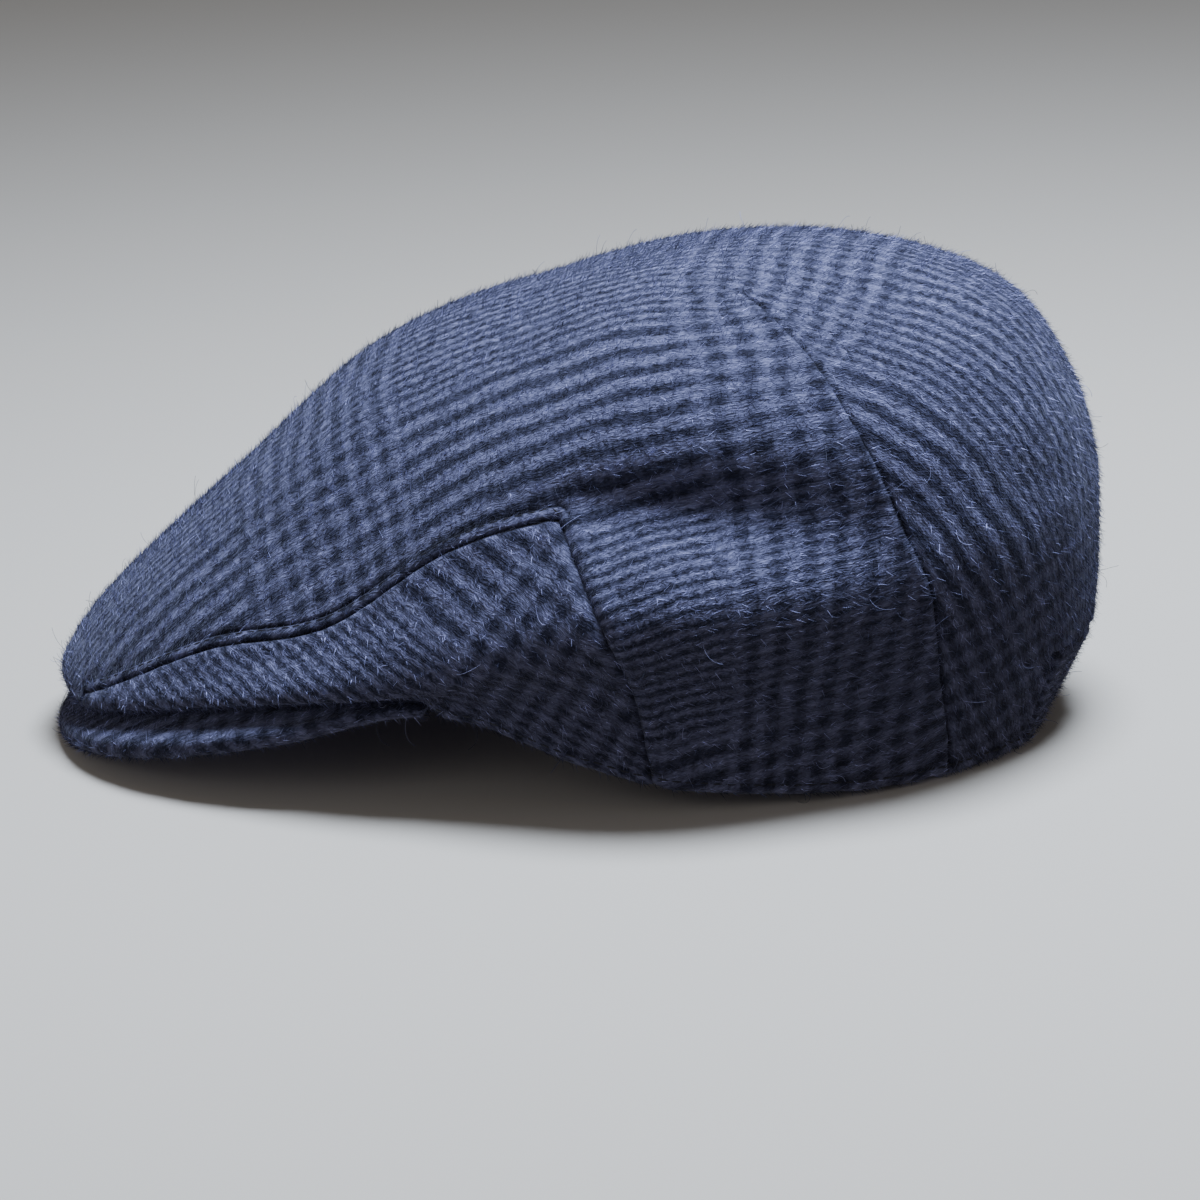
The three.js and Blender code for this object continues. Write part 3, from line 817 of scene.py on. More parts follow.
def peak_mesh():
    """The peak as sections from temple to temple. Its cloth lies flat on the top and wraps round the nose."""
    turns = np.linspace(-PEAK_END_TURN, PEAK_END_TURN, PEAK_SECTIONS + 1)
    sections = np.array([peak_section(turn) for turn in turns])
    size = sections.shape[1]
    steps = np.linalg.norm(np.diff(sections[:, ::-1], axis=1), axis=2)
    length = np.concatenate([np.zeros((len(turns), 1)), np.cumsum(steps, axis=1)], axis=1)[:, ::-1]
    start = sections[:, -1, :2]
    outward = sections[:, size // 2, :2] - start
    outward /= np.linalg.norm(outward, axis=1, keepdims=True)
    flat = start[:, None] + outward[:, None] * length[..., None]
    flat = flat[..., ::-1]
    faces = []
    for s in range(PEAK_SECTIONS):
        for k in range(size):
            after = (k + 1) % size
            a, b = s * size + k, s * size + after
            faces.append([a, a + size, b + size, b])
    last = PEAK_SECTIONS * size
    faces.append(list(range(size)))
    faces.append([last + k for k in reversed(range(size))])
    mesh = bpy.data.meshes.new("peak")
    places = sections.reshape(-1, 3)
    heights = softness(places) * PEAK_SOFTNESS
    mesh.from_pydata((places + UP * heights[:, None]).tolist(), [], faces)
    numbers = np.concatenate([np.array(face) for face in faces])
    set_map(mesh, "cloth", flat.reshape(-1, 2)[numbers])
    mesh.shade_smooth()
    finish_cloth(mesh, np.ones(len(faces)), np.zeros(len(mesh.vertices)))
    return mesh


# Node trees


class Number:
    """A number in a node tree. Python's operators on it add Math nodes."""

    def __init__(self, nodes, socket):
        self.nodes = nodes
        self.socket = socket

    def math(self, operation, *values):
        return self.nodes.number("ShaderNodeMath", {"operation": operation}, dict(enumerate(values)))

    def __add__(self, other):
        return self.math("ADD", self, other)

    def __sub__(self, other):
        return self.math("SUBTRACT", self, other)

    def __mul__(self, other):
        return self.math("MULTIPLY", self, other)

    def __truediv__(self, other):
        return self.math("DIVIDE", self, other)

    def __radd__(self, other):
        return self.math("ADD", other, self)

    def __rsub__(self, other):
        return self.math("SUBTRACT", other, self)

    def __rmul__(self, other):
        return self.math("MULTIPLY", other, self)

    def __abs__(self):
        return self.math("ABSOLUTE", self)

    def sine(self):
        return self.math("SINE", self)

    def wrapped(self, low, high):
        return self.math("WRAP", self, high, low)

    def clamped(self):
        return self.nodes.number("ShaderNodeClamp", {}, {"Value": self})

    def toward(self, other, share):
        return self + (other - self) * share


class Nodes:
    """A node tree that every node is added to with one method."""

    def __init__(self, tree):
        self.tree = tree

    def add(self, kind, settings=None, inputs=None):
        node = self.tree.nodes.new(kind)
        for name, value in (settings or {}).items():
            setattr(node, name, value)
        for key, value in (inputs or {}).items():
            socket = node.inputs[key]
            if isinstance(value, Number):
                value = value.socket
            if isinstance(value, bpy.types.NodeSocket):
                self.tree.links.new(value, socket)
            else:
                socket.default_value = value
        return node

    def number(self, kind, settings, inputs):
        return Number(self, self.add(kind, settings, inputs).outputs[0])

    def noise(self, place, scale, detail=2.0):
        """Smooth noise of about -1 to 1."""
        inputs = {"Vector": place, "Scale": scale, "Detail": detail}
        return self.number("ShaderNodeTexNoise", {}, inputs) * 2 - 1

    def mix(self, share, start, end):
        inputs = {"Factor": share, 6: start, 7: end}
        return self.add("ShaderNodeMix", {"data_type": "RGBA"}, inputs).outputs[2]

    def split(self, vector):
        node = self.add("ShaderNodeSeparateXYZ", {}, {"Vector": vector})
        return [Number(self, node.outputs[n]) for n in range(3)]

    def joined(self, x, y, z=0.0):
        return self.add("ShaderNodeCombineXYZ", {}, {"X": x, "Y": y, "Z": z}).outputs[0]

    def vector(self, operation, first, second):
        inputs = {0: first, 1: second}
        return self.add("ShaderNodeVectorMath", {"operation": operation}, inputs).outputs[0]

    def scaled(self, vector, amount):
        inputs = {0: vector, "Scale": amount}
        return self.add("ShaderNodeVectorMath", {"operation": "SCALE"}, inputs).outputs[0]

    def on_mesh(self, name):
        """What the mesh keeps under a name, for a material."""
        return self.add("ShaderNodeAttribute", {"attribute_name": name})

    def on_geometry(self, name, kind="FLOAT"):
        """What the mesh keeps under a name, for Geometry Nodes."""
        return self.add("GeometryNodeInputNamedAttribute", {"data_type": kind}, {"Name": name}).outputs[0]

    def random(self, low, high, seed):
        """A number for each point, the same in every run."""
        inputs = {2: low, 3: high, "Seed": seed}
        return Number(self, self.add("FunctionNodeRandomValue", {"data_type": "FLOAT"}, inputs).outputs[1])


# Wool and thread

BROAD_SHARPNESS = 0.78
FINE_SHARPNESS = 0.55
BAND_EDGE = 2.5 * MM
CROSS_BAND = -65.5 * MM  # middle of the first band across the cloth, from the middle of the top
LONG_BAND = 71.5 * MM  # middle of the band along the cloth on each side, from the cap's middle
CROSSWISE_SHARE = 0.15
CROSSWISE_SHARE_IN_BAND = 0.35  # on top of the share elsewhere
PATCH_SCALE = 45.0
PATCH_DEPTH = 0.1

# How far the stripes stray from their lines on each axis of the flat cloth, by noise of this scale.
Stray = namedtuple("Stray", "scale detail first second")
STRAYS = (Stray(60.0, 1.0, 4 * MM, 4 * MM), Stray(900.0, 2.0, 5 * MM, 3 * MM))

# The brushed surface: noise drawn out along the first axis, with fine streaks and broader clumps.
Brushing = namedtuple("Brushing", "draw scale tone")
STREAKS = Brushing(0.16, 2600.0, 0.9)
CLUMPS = Brushing(0.35, 700.0, 0.6)
SWIRL = 1.2 * MM
SWIRL_SCALE = 220.0
TWILL_PITCH = 1.1 * MM
CLUMP_HEIGHT = 1.5
TWILL_HEIGHT = 0.1
BUMP = {"Strength": 0.7, "Distance": 0.4 * MM}
CLOTH_TONE = 0.75
# Painted shade: how much darker the wool is painted where it lies deepest in a crease.
PAINTED_CREASE_SHADE = 0.85

# A fibre's tone: the darkest one, how much lighter most are, and the painted glint of a few, which are
# painted far brighter than the yarn.
FIBRE_TONE = 0.18
FIBRE_RANGE = 0.85
FIBRE_PAINTED_GLINT = 3.0
PAINTED_GLINT_POWER = 6.0

THREAD_ROUGHNESS = 0.6
FLOOR_ROUGHNESS = 0.8
SPECKLE_SCALE = 900.0


def new_material(name):
    material = bpy.data.materials.new(name)
    material.use_nodes = True
    material.node_tree.nodes.clear()
    return material, Nodes(material.node_tree)


def finished(nodes, shader):
    nodes.add("ShaderNodeOutputMaterial", {}, {"Surface": shader.outputs[0]})


def rgba(colour):
    return (*colour, 1.0)


def stripes(place, pitch, sharpness):
    """Soft stripes across a place on the cloth, from 0 for light to 1 for dark."""
    return ((place * (2 * math.pi / pitch)).sine() * sharpness + 0.5).clamped()


def within(place, width):
    """1 inside a band of this width about 0, and 0 outside it."""
    return ((width / 2 - abs(place)) / BAND_EDGE + 0.5).clamped()


def check_shade(nodes, cloth_place, wool):
    u, v, _ = nodes.split(cloth_place)
    v = abs(v)
    for stray in STRAYS:
        inputs = {"Vector": cloth_place, "Scale": stray.scale, "Detail": stray.detail}
        noise_u, noise_v, _ = nodes.split(nodes.add("ShaderNodeTexNoise", {}, inputs).outputs["Color"])
        u = u + (noise_u - 0.5) * stray.first
        v = v + (noise_v - 0.5) * stray.second
    across, along = wool.cross_repeat / 2, wool.long_repeat / 2
    in_cross = within((u - CROSS_BAND).wrapped(-across, across), wool.check_width)
    in_long = within((v - LONG_BAND).wrapped(-along, along), wool.check_width)

    def woven(place, in_band):
        fine = stripes(place, wool.check_pitch / 2, FINE_SHARPNESS)
        return fine.toward(stripes(place, wool.check_pitch, BROAD_SHARPNESS), in_band)

    return woven(v, in_long).toward(woven(u, in_cross), CROSSWISE_SHARE + CROSSWISE_SHARE_IN_BAND * in_cross)


def wool_colour(nodes, cloth_place, wool):
    """The check's colour at a place on the flat cloth, with faint patches."""
    shade = check_shade(nodes, cloth_place, wool)
    shade = (shade + nodes.noise(cloth_place, PATCH_SCALE) * PATCH_DEPTH).clamped()
    return nodes.mix(shade.socket, rgba(wool.light_wool), rgba(wool.dark_wool))


def wool_shader(nodes, inputs):
    """Soft matt wool with the sheen of fine fibres."""
    shared = {
        "Roughness": 0.9,
        "Specular IOR Level": 0.2,
        "Sheen Weight": 0.3,
        "Sheen Roughness": 0.4,
        "Sheen Tint": (0.65, 0.7, 1.0, 1.0),
    }
    finished(nodes, nodes.add("ShaderNodeBsdfPrincipled", {}, {**shared, **inputs}))


def wool_material(wool):
    """Brushed wool in the check, laid by the piece's map of the flat cloth, and painted darker in its creases
    as painted shade.
    """
    material, nodes = new_material("brushed_check_wool")
    place = nodes.add("ShaderNodeUVMap", {"uv_map": "cloth"}).outputs[0]
    colour = wool_colour(nodes, place, wool)
    u, v, _ = nodes.split(place)
    swirled = v + nodes.noise(place, SWIRL_SCALE, 1.0) * SWIRL
    streaks = nodes.noise(nodes.joined(u * STREAKS.draw, swirled), STREAKS.scale)
    clumps = nodes.noise(nodes.joined(u * CLUMPS.draw, swirled), CLUMPS.scale)
    twill = ((u + v) * (2 * math.pi / TWILL_PITCH)).sine()
    crease = Number(nodes, nodes.on_mesh("crease").outputs["Fac"])
    tone = CLOTH_TONE + streaks * STREAKS.tone + clumps * CLUMPS.tone
    # Painted shade: the wool's colour is painted darker in the creases of the seams, stitch rows and hem.
    tone = tone * (1 - crease * PAINTED_CREASE_SHADE)
    height = streaks + clumps * CLUMP_HEIGHT + twill * TWILL_HEIGHT
    bump = nodes.add("ShaderNodeBump", {}, {**BUMP, "Height": height})
    wool_shader(nodes, {"Base Color": nodes.scaled(colour, tone), "Normal": bump.outputs[0]})
    return material


def nap_material(wool):
    """The fibres of the nap, in the colour of the cloth that each one grows from, each at its own tone, with
    a few painted far brighter as painted glints.
    """
    material, nodes = new_material("wool_nap")
    colour = wool_colour(nodes, nodes.on_mesh("cloth").outputs["Vector"], wool)
    own = Number(nodes, nodes.on_mesh("tone").outputs["Fac"])
    # Painted glints: a few fibres are painted up to about four times as bright, for the light they catch.
    tone = FIBRE_TONE + own * FIBRE_RANGE + own.math("POWER", own, PAINTED_GLINT_POWER) * FIBRE_PAINTED_GLINT
    wool_shader(nodes, {"Base Color": nodes.scaled(colour, tone)})
    return material


def plain_material(name, colour, roughness, speckle=0.06):
    """A plain finish with slight changes of shade over it."""
    material, nodes = new_material(name)
    place = nodes.add("ShaderNodeTexCoord").outputs["Object"]
    shade = (nodes.noise(place, SPECKLE_SCALE) * speckle + 0.5).clamped()
    darker, lighter = ([min(1.0, part * share) for part in colour] for share in (0.7, 1.3))
    inputs = {"Base Color": nodes.mix(shade.socket, rgba(darker), rgba(lighter)), "Roughness": roughness}
    finished(nodes, nodes.add("ShaderNodeBsdfPrincipled", {}, inputs))
    return material


# Nap and hairs


class Repeater:
    """A Geometry Nodes tree with named inputs, which is run once on a piece to make a new plain mesh."""

    def __init__(self, name, inputs):
        self.tree = bpy.data.node_groups.new(name, "GeometryNodeTree")
        self.nodes = Nodes(self.tree)
        interface = self.tree.interface
        interface.new_socket("Geometry", in_out="INPUT", socket_type="NodeSocketGeometry")
        interface.new_socket("Geometry", in_out="OUTPUT", socket_type="NodeSocketGeometry")
        self.identifiers = {}
        for label, kind in inputs.items():
            socket = interface.new_socket(label, in_out="INPUT", socket_type="NodeSocket" + kind)
            self.identifiers[label] = socket.identifier
        self.given = self.nodes.add("NodeGroupInput")

    def input(self, label):
        return self.given.outputs[label]

    def number(self, label):
        return Number(self.nodes, self.given.outputs[label])

    def end(self, instances):
        """Ends the tree: every instance made real, and the material set."""
        real = self.nodes.add("GeometryNodeRealizeInstances", {}, {"Geometry": instances})
        inputs = {"Geometry": real.outputs[0], "Material": self.input("Material")}
        done = self.nodes.add("GeometryNodeSetMaterial", {}, inputs)
        self.nodes.add("NodeGroupOutput", {}, {"Geometry": done.outputs[0]})

    def run(self, base, name, values):
        """A new piece, made by the tree from a base object."""
        modifier = base.modifiers.new(self.tree.name, "NODES")
        modifier.node_group = self.tree
        for label, value in values.items():
            modifier[self.identifiers[label]] = value
        graph = bpy.context.evaluated_depsgraph_get()
        mesh = bpy.data.meshes.new_from_object(base.evaluated_get(graph))
        base.modifiers.remove(modifier)
        mesh.name = name
        return new_object(name, mesh)


def scattered(repeater):
    """Points on the outside of the cloth, and fewer in its creases."""
    nodes = repeater.nodes
    inputs = {0: nodes.on_geometry("outside"), 1: 0.5}
    chosen = nodes.add("FunctionNodeCompare", {"operation": "GREATER_THAN"}, inputs)
    inputs = {
        "Mesh": repeater.input("Geometry"),
        "Selection": chosen.outputs[0],
        "Density": repeater.number("Density") * (1 - Number(nodes, nodes.on_geometry("crease"))),
        "Seed": repeater.input("Seed"),
    }
    return nodes.add("GeometryNodeDistributePointsOnFaces", {}, inputs)


TUFTS_PER_METRE = 260.0
FIBRE_LIFTS = (0.1, 1.0)
FIBRE_LENGTHS = (0.5, 1.4)


def turned_fibres(repeater, points, fibre):
    """Instances of a fibre on the points, turned along the lie of the cloth, some more raised than others."""
    nodes = repeater.nodes
    inputs = {"Min": (-1.0, -1.0, -1.0), "Max": (1.0, 1.0, 1.0), "Seed": 1}
    random = nodes.add("FunctionNodeRandomValue", {"data_type": "FLOAT_VECTOR"}, inputs).outputs[0]
    tufts = nodes.add("ShaderNodeTexNoise", {}, {"Scale": TUFTS_PER_METRE, "Detail": 1.0}).outputs["Color"]
    tufts = nodes.vector("SUBTRACT", tufts, (0.5, 0.5, 0.5))
    raised = nodes.random(*FIBRE_LIFTS, seed=2) * repeater.number("Lift")
    direction = nodes.on_geometry("lie", "FLOAT_VECTOR")
    for stray, amount in (
        (random, repeater.input("Spread")),
        (tufts, repeater.input("Clumping")),
        (points.outputs["Normal"], raised),
    ):
        direction = nodes.vector("ADD", direction, nodes.scaled(stray, amount))
    aligned = nodes.add("FunctionNodeAlignRotationToVector", {"axis": "Z"}, {"Vector": direction}).outputs[0]
    size = nodes.joined(1.0, 1.0, nodes.random(*FIBRE_LENGTHS, seed=3))
    inputs = {"Points": points.outputs["Points"], "Instance": fibre, "Rotation": aligned, "Scale": size}
    fibres = nodes.add("GeometryNodeInstanceOnPoints", {}, inputs).outputs[0]
    settings = {"data_type": "FLOAT", "domain": "INSTANCE"}
    inputs = {"Geometry": fibres, "Name": "tone", "Value": nodes.random(0.0, 1.0, seed=4)}
    return nodes.add("GeometryNodeStoreNamedAttribute", settings, inputs).outputs[0]


def straight_fibre(repeater):
    """A short fibre that tapers to a point."""
    radius = repeater.number("Width") * 0.5
    sizes = {"Vertices": 3, "Radius Top": 0.0, "Radius Bottom": radius, "Depth": repeater.input("Length")}
    return repeater.nodes.add("GeometryNodeMeshCone", {"fill_type": "NONE"}, sizes).outputs[0]


# Where a loose hair bends and where it ends, on three axes, as shares of its length.
HAIR_BEND = (0.55, 0.15, 0.5)
HAIR_END = (0.1, 0.3, 0.9)


def curled_fibre(repeater):
    """A long loose hair: a thin bent tube."""
    nodes = repeater.nodes
    length = repeater.number("Length")
    bend, end = (nodes.joined(*(length * share for share in shares)) for shares in (HAIR_BEND, HAIR_END))
    places = {"Resolution": 6, "Start": (0.0, 0.0, 0.0), "Middle": bend, "End": end}
    line = nodes.add("GeometryNodeCurveQuadraticBezier", {}, places).outputs[0]
    ring = {"Resolution": 3, "Radius": repeater.number("Width") * 0.5}
    section = nodes.add("GeometryNodeCurvePrimitiveCircle", {"mode": "RADIUS"}, ring).outputs[0]
    return nodes.add("GeometryNodeCurveToMesh", {}, {"Curve": line, "Profile Curve": section}).outputs[0]


def nap_repeater(name, make_fibre):
    """Fibres of one kind, scattered over the outside of a piece."""
    numbers = ("Density", "Length", "Width", "Lift", "Spread", "Clumping")
    repeater = Repeater(name, {**dict.fromkeys(numbers, "Float"), "Seed": "Int", "Material": "Material"})
    repeater.end(turned_fibres(repeater, scattered(repeater), make_fibre(repeater)))
    return repeater


def stitch_repeater():
    """Stitches at equal steps along the lines of a row, each a long rounded bead of thread."""
    inputs = {"Spacing": "Float", "Length": "Float", "Width": "Float", "Material": "Material"}
    repeater = Repeater("stitches", inputs)
    nodes = repeater.nodes
    line = nodes.add("GeometryNodeMeshToCurve", {}, {"Mesh": repeater.input("Geometry")}).outputs[0]
    inputs = {"Curve": line, "Length": repeater.input("Spacing")}
    points = nodes.add("GeometryNodeCurveToPoints", {"mode": "LENGTH"}, inputs)
    bead = nodes.add("GeometryNodeMeshUVSphere", {}, {"Segments": 8, "Rings": 6, "Radius": 0.5}).outputs[0]
    width = repeater.number("Width")
    inputs = {
        "Points": points.outputs["Points"],
        "Instance": bead,
        "Rotation": points.outputs["Rotation"],
        "Scale": nodes.joined(width, width, repeater.number("Length")),
    }
    repeater.end(nodes.add("GeometryNodeInstanceOnPoints", {}, inputs).outputs[0])
    return repeater


# Making the pieces

FULL_COARSENESS = 1.0


@functools.cache
def the_cloth():
    """The fine grid of the whole cap's cloth. It is made once."""
    return Cloth(FULL_COARSENESS)


@functools.cache
def the_seams():
    return seam_lines(the_cloth())


@functools.cache
def relief_of(piece):
    return relief(the_cloth(), the_seams(), piece)


@functools.cache
def wool_of_cap():
    """The wool of all the cloth pieces. It is made once."""
    return wool_material(bpy.context.scene.flat_cap_wool)


def place_piece(piece, material, node):
    """Gives a finished piece its material and its place in the frame."""
    piece.data.materials.append(material)
    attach(piece, "root")
    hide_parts(node)


def grid_point(turn, level):
    cloth = the_cloth()
    return cloth.column_of(turn) * cloth.rows + cloth.row_of(level)


def dart_edges():
    """The grid's edges along both darts, where the flat cloth is cut."""
    edges = set()
    for sign in (1, -1):
        start, end = (grid_point(sign * DART_COLUMN, level) for level in (0.0, DART[-1].level))
        edges.update(frozenset((k, k + 1)) for k in range(start, end))
    return edges


class CapOperator:
    bl_options = {"REGISTER", "UNDO"}


class FLATCAP_OT_crown(CapOperator, bpy.types.Operator):
    """Build the crown: the large piece of cloth over the top, with its seams and darts in relief"""

    bl_idname = "flatcap.crown"
    bl_label = "Crown"

    def execute(self, context):
        middle = the_cloth().columns * the_cloth().rows
        back, side = (grid_point(turn, BAND_LEVEL) for turn in (180.0, SIDE_SEAM_TURN))
        cloth_piece("crown", middle, back, side, cuts=dart_edges(), grain=crown_grain)
        return {"FINISHED"}


PANEL_MIDDLE_TURN = 60.0


class FLATCAP_OT_side_panels(CapOperator, bpy.types.Operator):
    """Build the two side panels between the topstitched seam and the peak"""

    bl_idname = "flatcap.side_panels"
    bl_label = "Side Panels"

    def execute(self, context):
        for name, sign in (("left_side_panel", 1), ("right_side_panel", -1)):
            front, back = (grid_point(sign * turn, 1.0) for turn in (FRONT_TAB_TURN, SIDE_SEAM_TURN))
            top = grid_point(sign * PANEL_MIDDLE_TURN, SEAM_LEVEL)
            cloth_piece(name, front, back, top, grain=panel_grain)
        return {"FINISHED"}


class FLATCAP_OT_back_band(CapOperator, bpy.types.Operator):
    """Build the short band at the middle of the back"""

    bl_idname = "flatcap.back_band"
    bl_label = "Back Band"

    def execute(self, context):
        start, end = (grid_point(turn, BAND_LEVEL) for turn in (BAND_TURN, -BAND_TURN))
        cloth_piece("back_band", start, end, grid_point(180.0, 0.0))
        return {"FINISHED"}


class FLATCAP_OT_peak(CapOperator, bpy.types.Operator):
    """Build the stiff peak, covered in the same cloth that wraps round its edge"""

    bl_idname = "flatcap.peak"
    bl_label = "Peak"

    def execute(self, context):
        place_piece(new_object("peak_cloth", peak_mesh()), wool_of_cap(), "peak")
        return {"FINISHED"}


# How many layers of nap each piece has, so that no layer has too many triangles.
NAP_LAYERS = {"crown": 3, "left_side_panel": 1, "right_side_panel": 1, "back_band": 1, "peak": 1}

# Long hairs stand up and stray this many times as much as the short fibres.
HAIR_LIFT = 2
HAIR_SPREAD = 4
HAIR_SEED = 7

# The rows of stitches: the seam that each follows, how far it lies up the ribs from that seam's row,
# and the turns between which it runs.
StitchRow = namedtuple("StitchRow", "name piece level offset start end")
STITCH_ROWS = (
    StitchRow("topstitch", "crown", SEAM_LEVEL, TOPSTITCH_SPACING, FRONT_TAB_TURN, SIDE_SEAM_TURN),
    StitchRow("hem_stitch", "crown", 0.0, HEM_SPACING, SIDE_SEAM_TURN, 180.0),
    StitchRow("front_hem_stitch", "left_side_panel", 0.0, HEM_SPACING, PEAK_END_TURN, SIDE_SEAM_TURN),
)
STITCH_SINK = 0.1 * MM


def stitch_lines(row, sign):
    """The places along a row of stitches on one side of the cap."""
    cloth = the_cloth()
    height, _ = relief_of(row.piece)
    outer = cloth.places + cloth.normals * (height - STITCH_SINK)[..., None]
    low, high = sorted((row.start, row.end))
    columns = [i for i, turn in enumerate(cloth.turns) if turn * sign > 0 or turn == 180]
    columns = [i for i in columns if low <= abs(cloth.turns[i]) <= high]
    columns.sort(key=lambda i: abs(cloth.turns[i]))
    return [up_the_rib(outer, i, cloth.row_of(row.level), row.offset) for i in columns]


def line_object(name, lines):
    """A mesh of edges only, one run of them for each line."""
    places, edges = [], []
    for line in lines:
        start = len(places)
        places.extend(tuple(place) for place in line)
        edges.extend((start + k, start + k + 1) for k in range(len(line) - 1))
    mesh = bpy.data.meshes.new(name)
    mesh.from_pydata(places, edges, [])
    return new_object(name, mesh)


class FLATCAP_OT_stitches(CapOperator, bpy.types.Operator):
    """Sew the rows of stitches: above the side panels' seam and along the hem"""

    bl_idname = "flatcap.stitches"
    bl_label = "Stitches"

    def execute(self, context):
        sewing = context.scene.flat_cap_sewing
        repeater = stitch_repeater()
        values = {
            "Spacing": sewing.spacing,
            "Length": sewing.length,
            "Width": sewing.width,
            "Material": plain_material("thread", tuple(sewing.colour), THREAD_ROUGHNESS),
        }
        for row in STITCH_ROWS:
            base = line_object(row.name + "_line", [stitch_lines(row, sign) for sign in (1, -1)])
            piece = repeater.run(base, row.name, values)
            bpy.data.objects.remove(base)
            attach(piece, "root")
        return {"FINISHED"}


def grow(repeater, piece_name, name, values):
    """Grows a layer of nap or of hairs on a piece of the cloth."""
    piece = repeater.run(bpy.data.objects[piece_name + "_cloth"], name, values)
    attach(piece, "root")


class FLATCAP_OT_nap(CapOperator, bpy.types.Operator):
    """Raise the nap: short fibres over the outside of the cloth, combed towards the back"""

    bl_idname = "flatcap.nap"
    bl_label = "Nap"

    def execute(self, context):
        nap = context.scene.flat_cap_nap
        density = nap.density * 1
        values = {
            "Length": nap.length,
            "Width": nap.width,
            "Lift": nap.lift,
            "Spread": nap.spread,
            "Clumping": nap.clumping,
            "Material": nap_material(context.scene.flat_cap_wool),
        }
        repeater = nap_repeater("nap", straight_fibre)
        for piece, layers in NAP_LAYERS.items():
            for layer in range(layers):
                name = f"{piece}_nap_{layer + 1}"
                grow(repeater, piece, name, {**values, "Density": density / layers, "Seed": layer})
        hair_values = {
            "Density": nap.hair_density,
            "Length": nap.hair_length,
            "Width": nap.hair_width,
            "Lift": HAIR_LIFT * nap.lift,
            "Spread": HAIR_SPREAD * nap.spread,
            "Seed": HAIR_SEED,
        }
        repeater = nap_repeater("hairs", curled_fibre)
        for piece in NAP_LAYERS:
            grow(repeater, piece, piece + "_hairs", {**values, **hair_values})
        return {"FINISHED"}


# The stage


class FLATCAP_OT_stage(CapOperator, bpy.types.Operator):
    """Set the pale floor, the soft lights and the camera"""

    bl_idname = "flatcap.stage"
    bl_label = "Stage"

    def execute(self, context):
        stage = context.scene.flat_cap_stage
        mesh = bpy.data.meshes.new("floor")
        half = stage.floor_size / 2
        corners = [(-half, -half, 0), (half, -half, 0), (half, half, 0), (-half, half, 0)]
        mesh.from_pydata(corners, [], [(0, 1, 2, 3)])
        floor = new_object("floor", mesh)
        mesh.materials.append(plain_material("pale_floor", stage.floor_colour, FLOOR_ROUGHNESS, 0.0))
        floor.visible_diffuse = False
        add_lights(stage)
        add_world(stage)
        add_camera()
        return {"FINISHED"}


# The power of each light is a share of the stage's light power.
SoftLight = namedtuple("SoftLight", "name place aim size share colour")
SOFT_LIGHTS = (
    SoftLight("top_light", (-0.05, 0.2, 1.0), (0, 0, 0.05), 0.5, 1.0, (0.78, 0.87, 1.0)),
    SoftLight("side_light", (1.3, -0.7, 0.7), (0, -0.05, 0.04), 1.0, 0.1, (1.0, 0.98, 0.96)),
)


def add_lights(stage):
    for row in SOFT_LIGHTS:
        lamp = bpy.data.lights.new(row.name, "AREA")
        lamp.shape = "DISK"
        lamp.size = row.size
        lamp.energy = stage.light_power * row.share
        lamp.color = row.colour
        light = new_object(row.name, lamp)
        light.location = row.place
        light.rotation_euler = (Vector(row.aim) - Vector(row.place)).to_track_quat("-Z", "Y").to_euler()


def add_world(stage):
    world = bpy.data.worlds.new("studio")
    bpy.context.scene.world = world
    world.use_nodes = True
    background = world.node_tree.nodes["Background"]
    background.inputs["Color"].default_value = rgba(stage.world_colour)
    background.inputs["Strength"].default_value = stage.world_strength


CAMERA_PLACE = Vector((1.0013, 0.1772, 0.3232))
CAMERA_AIM = Vector((0.0, 0.00928, 0.03047))
CAMERA_ROLL = math.radians(-2.751)
CAMERA_LENS = 120.9
SENSOR_WIDTH = 36.0


def add_camera():
    data = bpy.data.cameras.new("camera")
    data.lens = CAMERA_LENS
    data.sensor_width = SENSOR_WIDTH
    camera = new_object("camera", data)
    back = (CAMERA_PLACE - CAMERA_AIM).normalized()
    right = Vector((0, 0, 1)).cross(back).normalized()
    up = back.cross(right)
    turn = Matrix((right, up, back)).transposed() @ Matrix.Rotation(CAMERA_ROLL, 3, "Z")
    camera.matrix_world = Matrix.Translation(CAMERA_PLACE) @ turn.to_4x4()
    bpy.context.scene.camera = camera


# Settings


def length_setting(name, description, default):
    return FloatProperty(name=name, description=description, default=default, unit="LENGTH")


def number_setting(name, description, default):
    return FloatProperty(name=name, description=description, default=default, min=0.0)


def colour_setting(name, description, default):
    return FloatVectorProperty(name=name, description=description, default=default, subtype="COLOR")


class FlatCapWool(bpy.types.PropertyGroup):
    check_pitch: length_setting("Stripe Pitch", "From one dark stripe of the check to the next", 0.0066)
    check_width: length_setting("Band Width", "Width of the bands of broad stripes", 0.054)
    cross_repeat: length_setting("Cross Repeat", "From one band across the cloth to the next", 0.128)
    long_repeat: length_setting("Long Repeat", "From one band along the cloth to the next", 0.118)
    light_wool: colour_setting("Light Yarn", "Colour of the light yarn", (0.225, 0.24, 0.44))
    dark_wool: colour_setting("Dark Yarn", "Colour of the dark yarn", (0.036, 0.04, 0.084))


class FlatCapNap(bpy.types.PropertyGroup):
    density: number_setting("Fibres", "Fibres on each square metre of cloth", 1.8e6)
    length: length_setting("Fibre Length", "Length of a fibre", 0.0022)
    width: length_setting("Fibre Width", "Width of a fibre at its root", 0.00014)
    lift: number_setting("Lift", "How far fibres stand up, as a slope", 0.4)
    spread: number_setting("Spread", "How far fibres stray from the lie of the cloth", 0.8)
    clumping: number_setting("Clumping", "How far tufts of fibres turn together", 1.6)
    hair_density: number_setting("Hairs", "Long loose hairs on each square metre of cloth", 9000.0)
    hair_length: length_setting("Hair Length", "Length of a hair", 0.006)
    hair_width: length_setting("Hair Width", "Width of a hair", 0.0001)


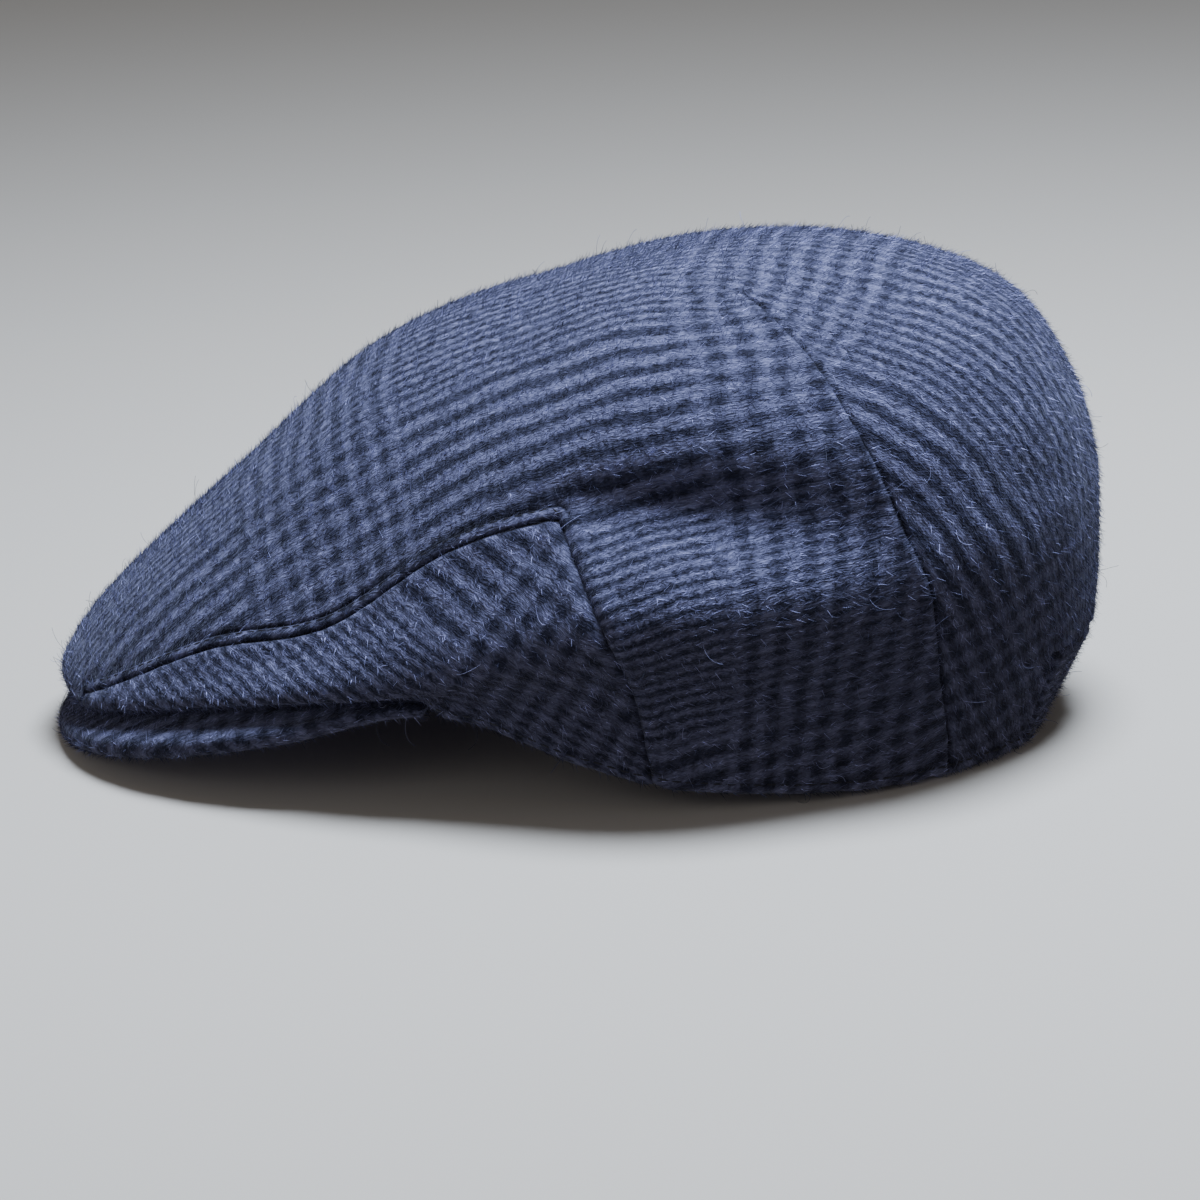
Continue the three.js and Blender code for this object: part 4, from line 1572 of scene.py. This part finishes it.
class FlatCapSewing(bpy.types.PropertyGroup):
    spacing: length_setting("Stitch Spacing", "From one stitch to the next", 0.0033)
    length: length_setting("Stitch Length", "Length of the thread that shows", 0.0026)
    width: length_setting("Thread", "Width of the thread", 0.00055)
    colour: colour_setting("Thread Colour", "Colour of the thread", (0.012, 0.013, 0.025))


class FlatCapStage(bpy.types.PropertyGroup):
    floor_size: length_setting("Floor Size", "Length of each side of the floor", 12.0)
    floor_colour: colour_setting("Floor", "Colour of the floor", (0.7, 0.67, 0.63))
    light_power: number_setting("Light Power", "Power of the top light in watts", 21.0)
    world_colour: colour_setting("Surround", "Colour of the light all round", (1.0, 0.93, 0.84))
    world_strength: number_setting("Surround Strength", "Strength of the light all round", 0.14)


OPERATORS = (
    FLATCAP_OT_crown,
    FLATCAP_OT_side_panels,
    FLATCAP_OT_back_band,
    FLATCAP_OT_peak,
    FLATCAP_OT_stitches,
    FLATCAP_OT_nap,
    FLATCAP_OT_stage,
)


class FLATCAP_PT_panel(bpy.types.Panel):
    bl_label = "Flat Cap"
    bl_space_type = "VIEW_3D"
    bl_region_type = "UI"
    bl_category = "Flat Cap"

    def draw(self, context):
        for group in SETTINGS:
            settings = getattr(context.scene, group)
            for name in settings.__annotations__:
                self.layout.prop(settings, name)
        for operator in OPERATORS:
            self.layout.operator(operator.bl_idname)


SETTINGS = {
    "flat_cap_wool": FlatCapWool,
    "flat_cap_sewing": FlatCapSewing,
    "flat_cap_nap": FlatCapNap,
    "flat_cap_stage": FlatCapStage,
}
CLASSES = (*SETTINGS.values(), *OPERATORS, FLATCAP_PT_panel)


def register():
    for kind in CLASSES:
        bpy.utils.register_class(kind)
    for name, kind in SETTINGS.items():
        setattr(bpy.types.Scene, name, PointerProperty(type=kind))


def unregister():
    for name in SETTINGS:
        delattr(bpy.types.Scene, name)
    for kind in reversed(CLASSES):
        bpy.utils.unregister_class(kind)


def main():
    register()
    bpy.ops.flatcap.crown()
    bpy.ops.flatcap.side_panels()
    bpy.ops.flatcap.back_band()
    bpy.ops.flatcap.peak()
    bpy.ops.flatcap.stitches()
    bpy.ops.flatcap.nap()
    bpy.ops.flatcap.stage()


if __name__ == "__main__":
    main()
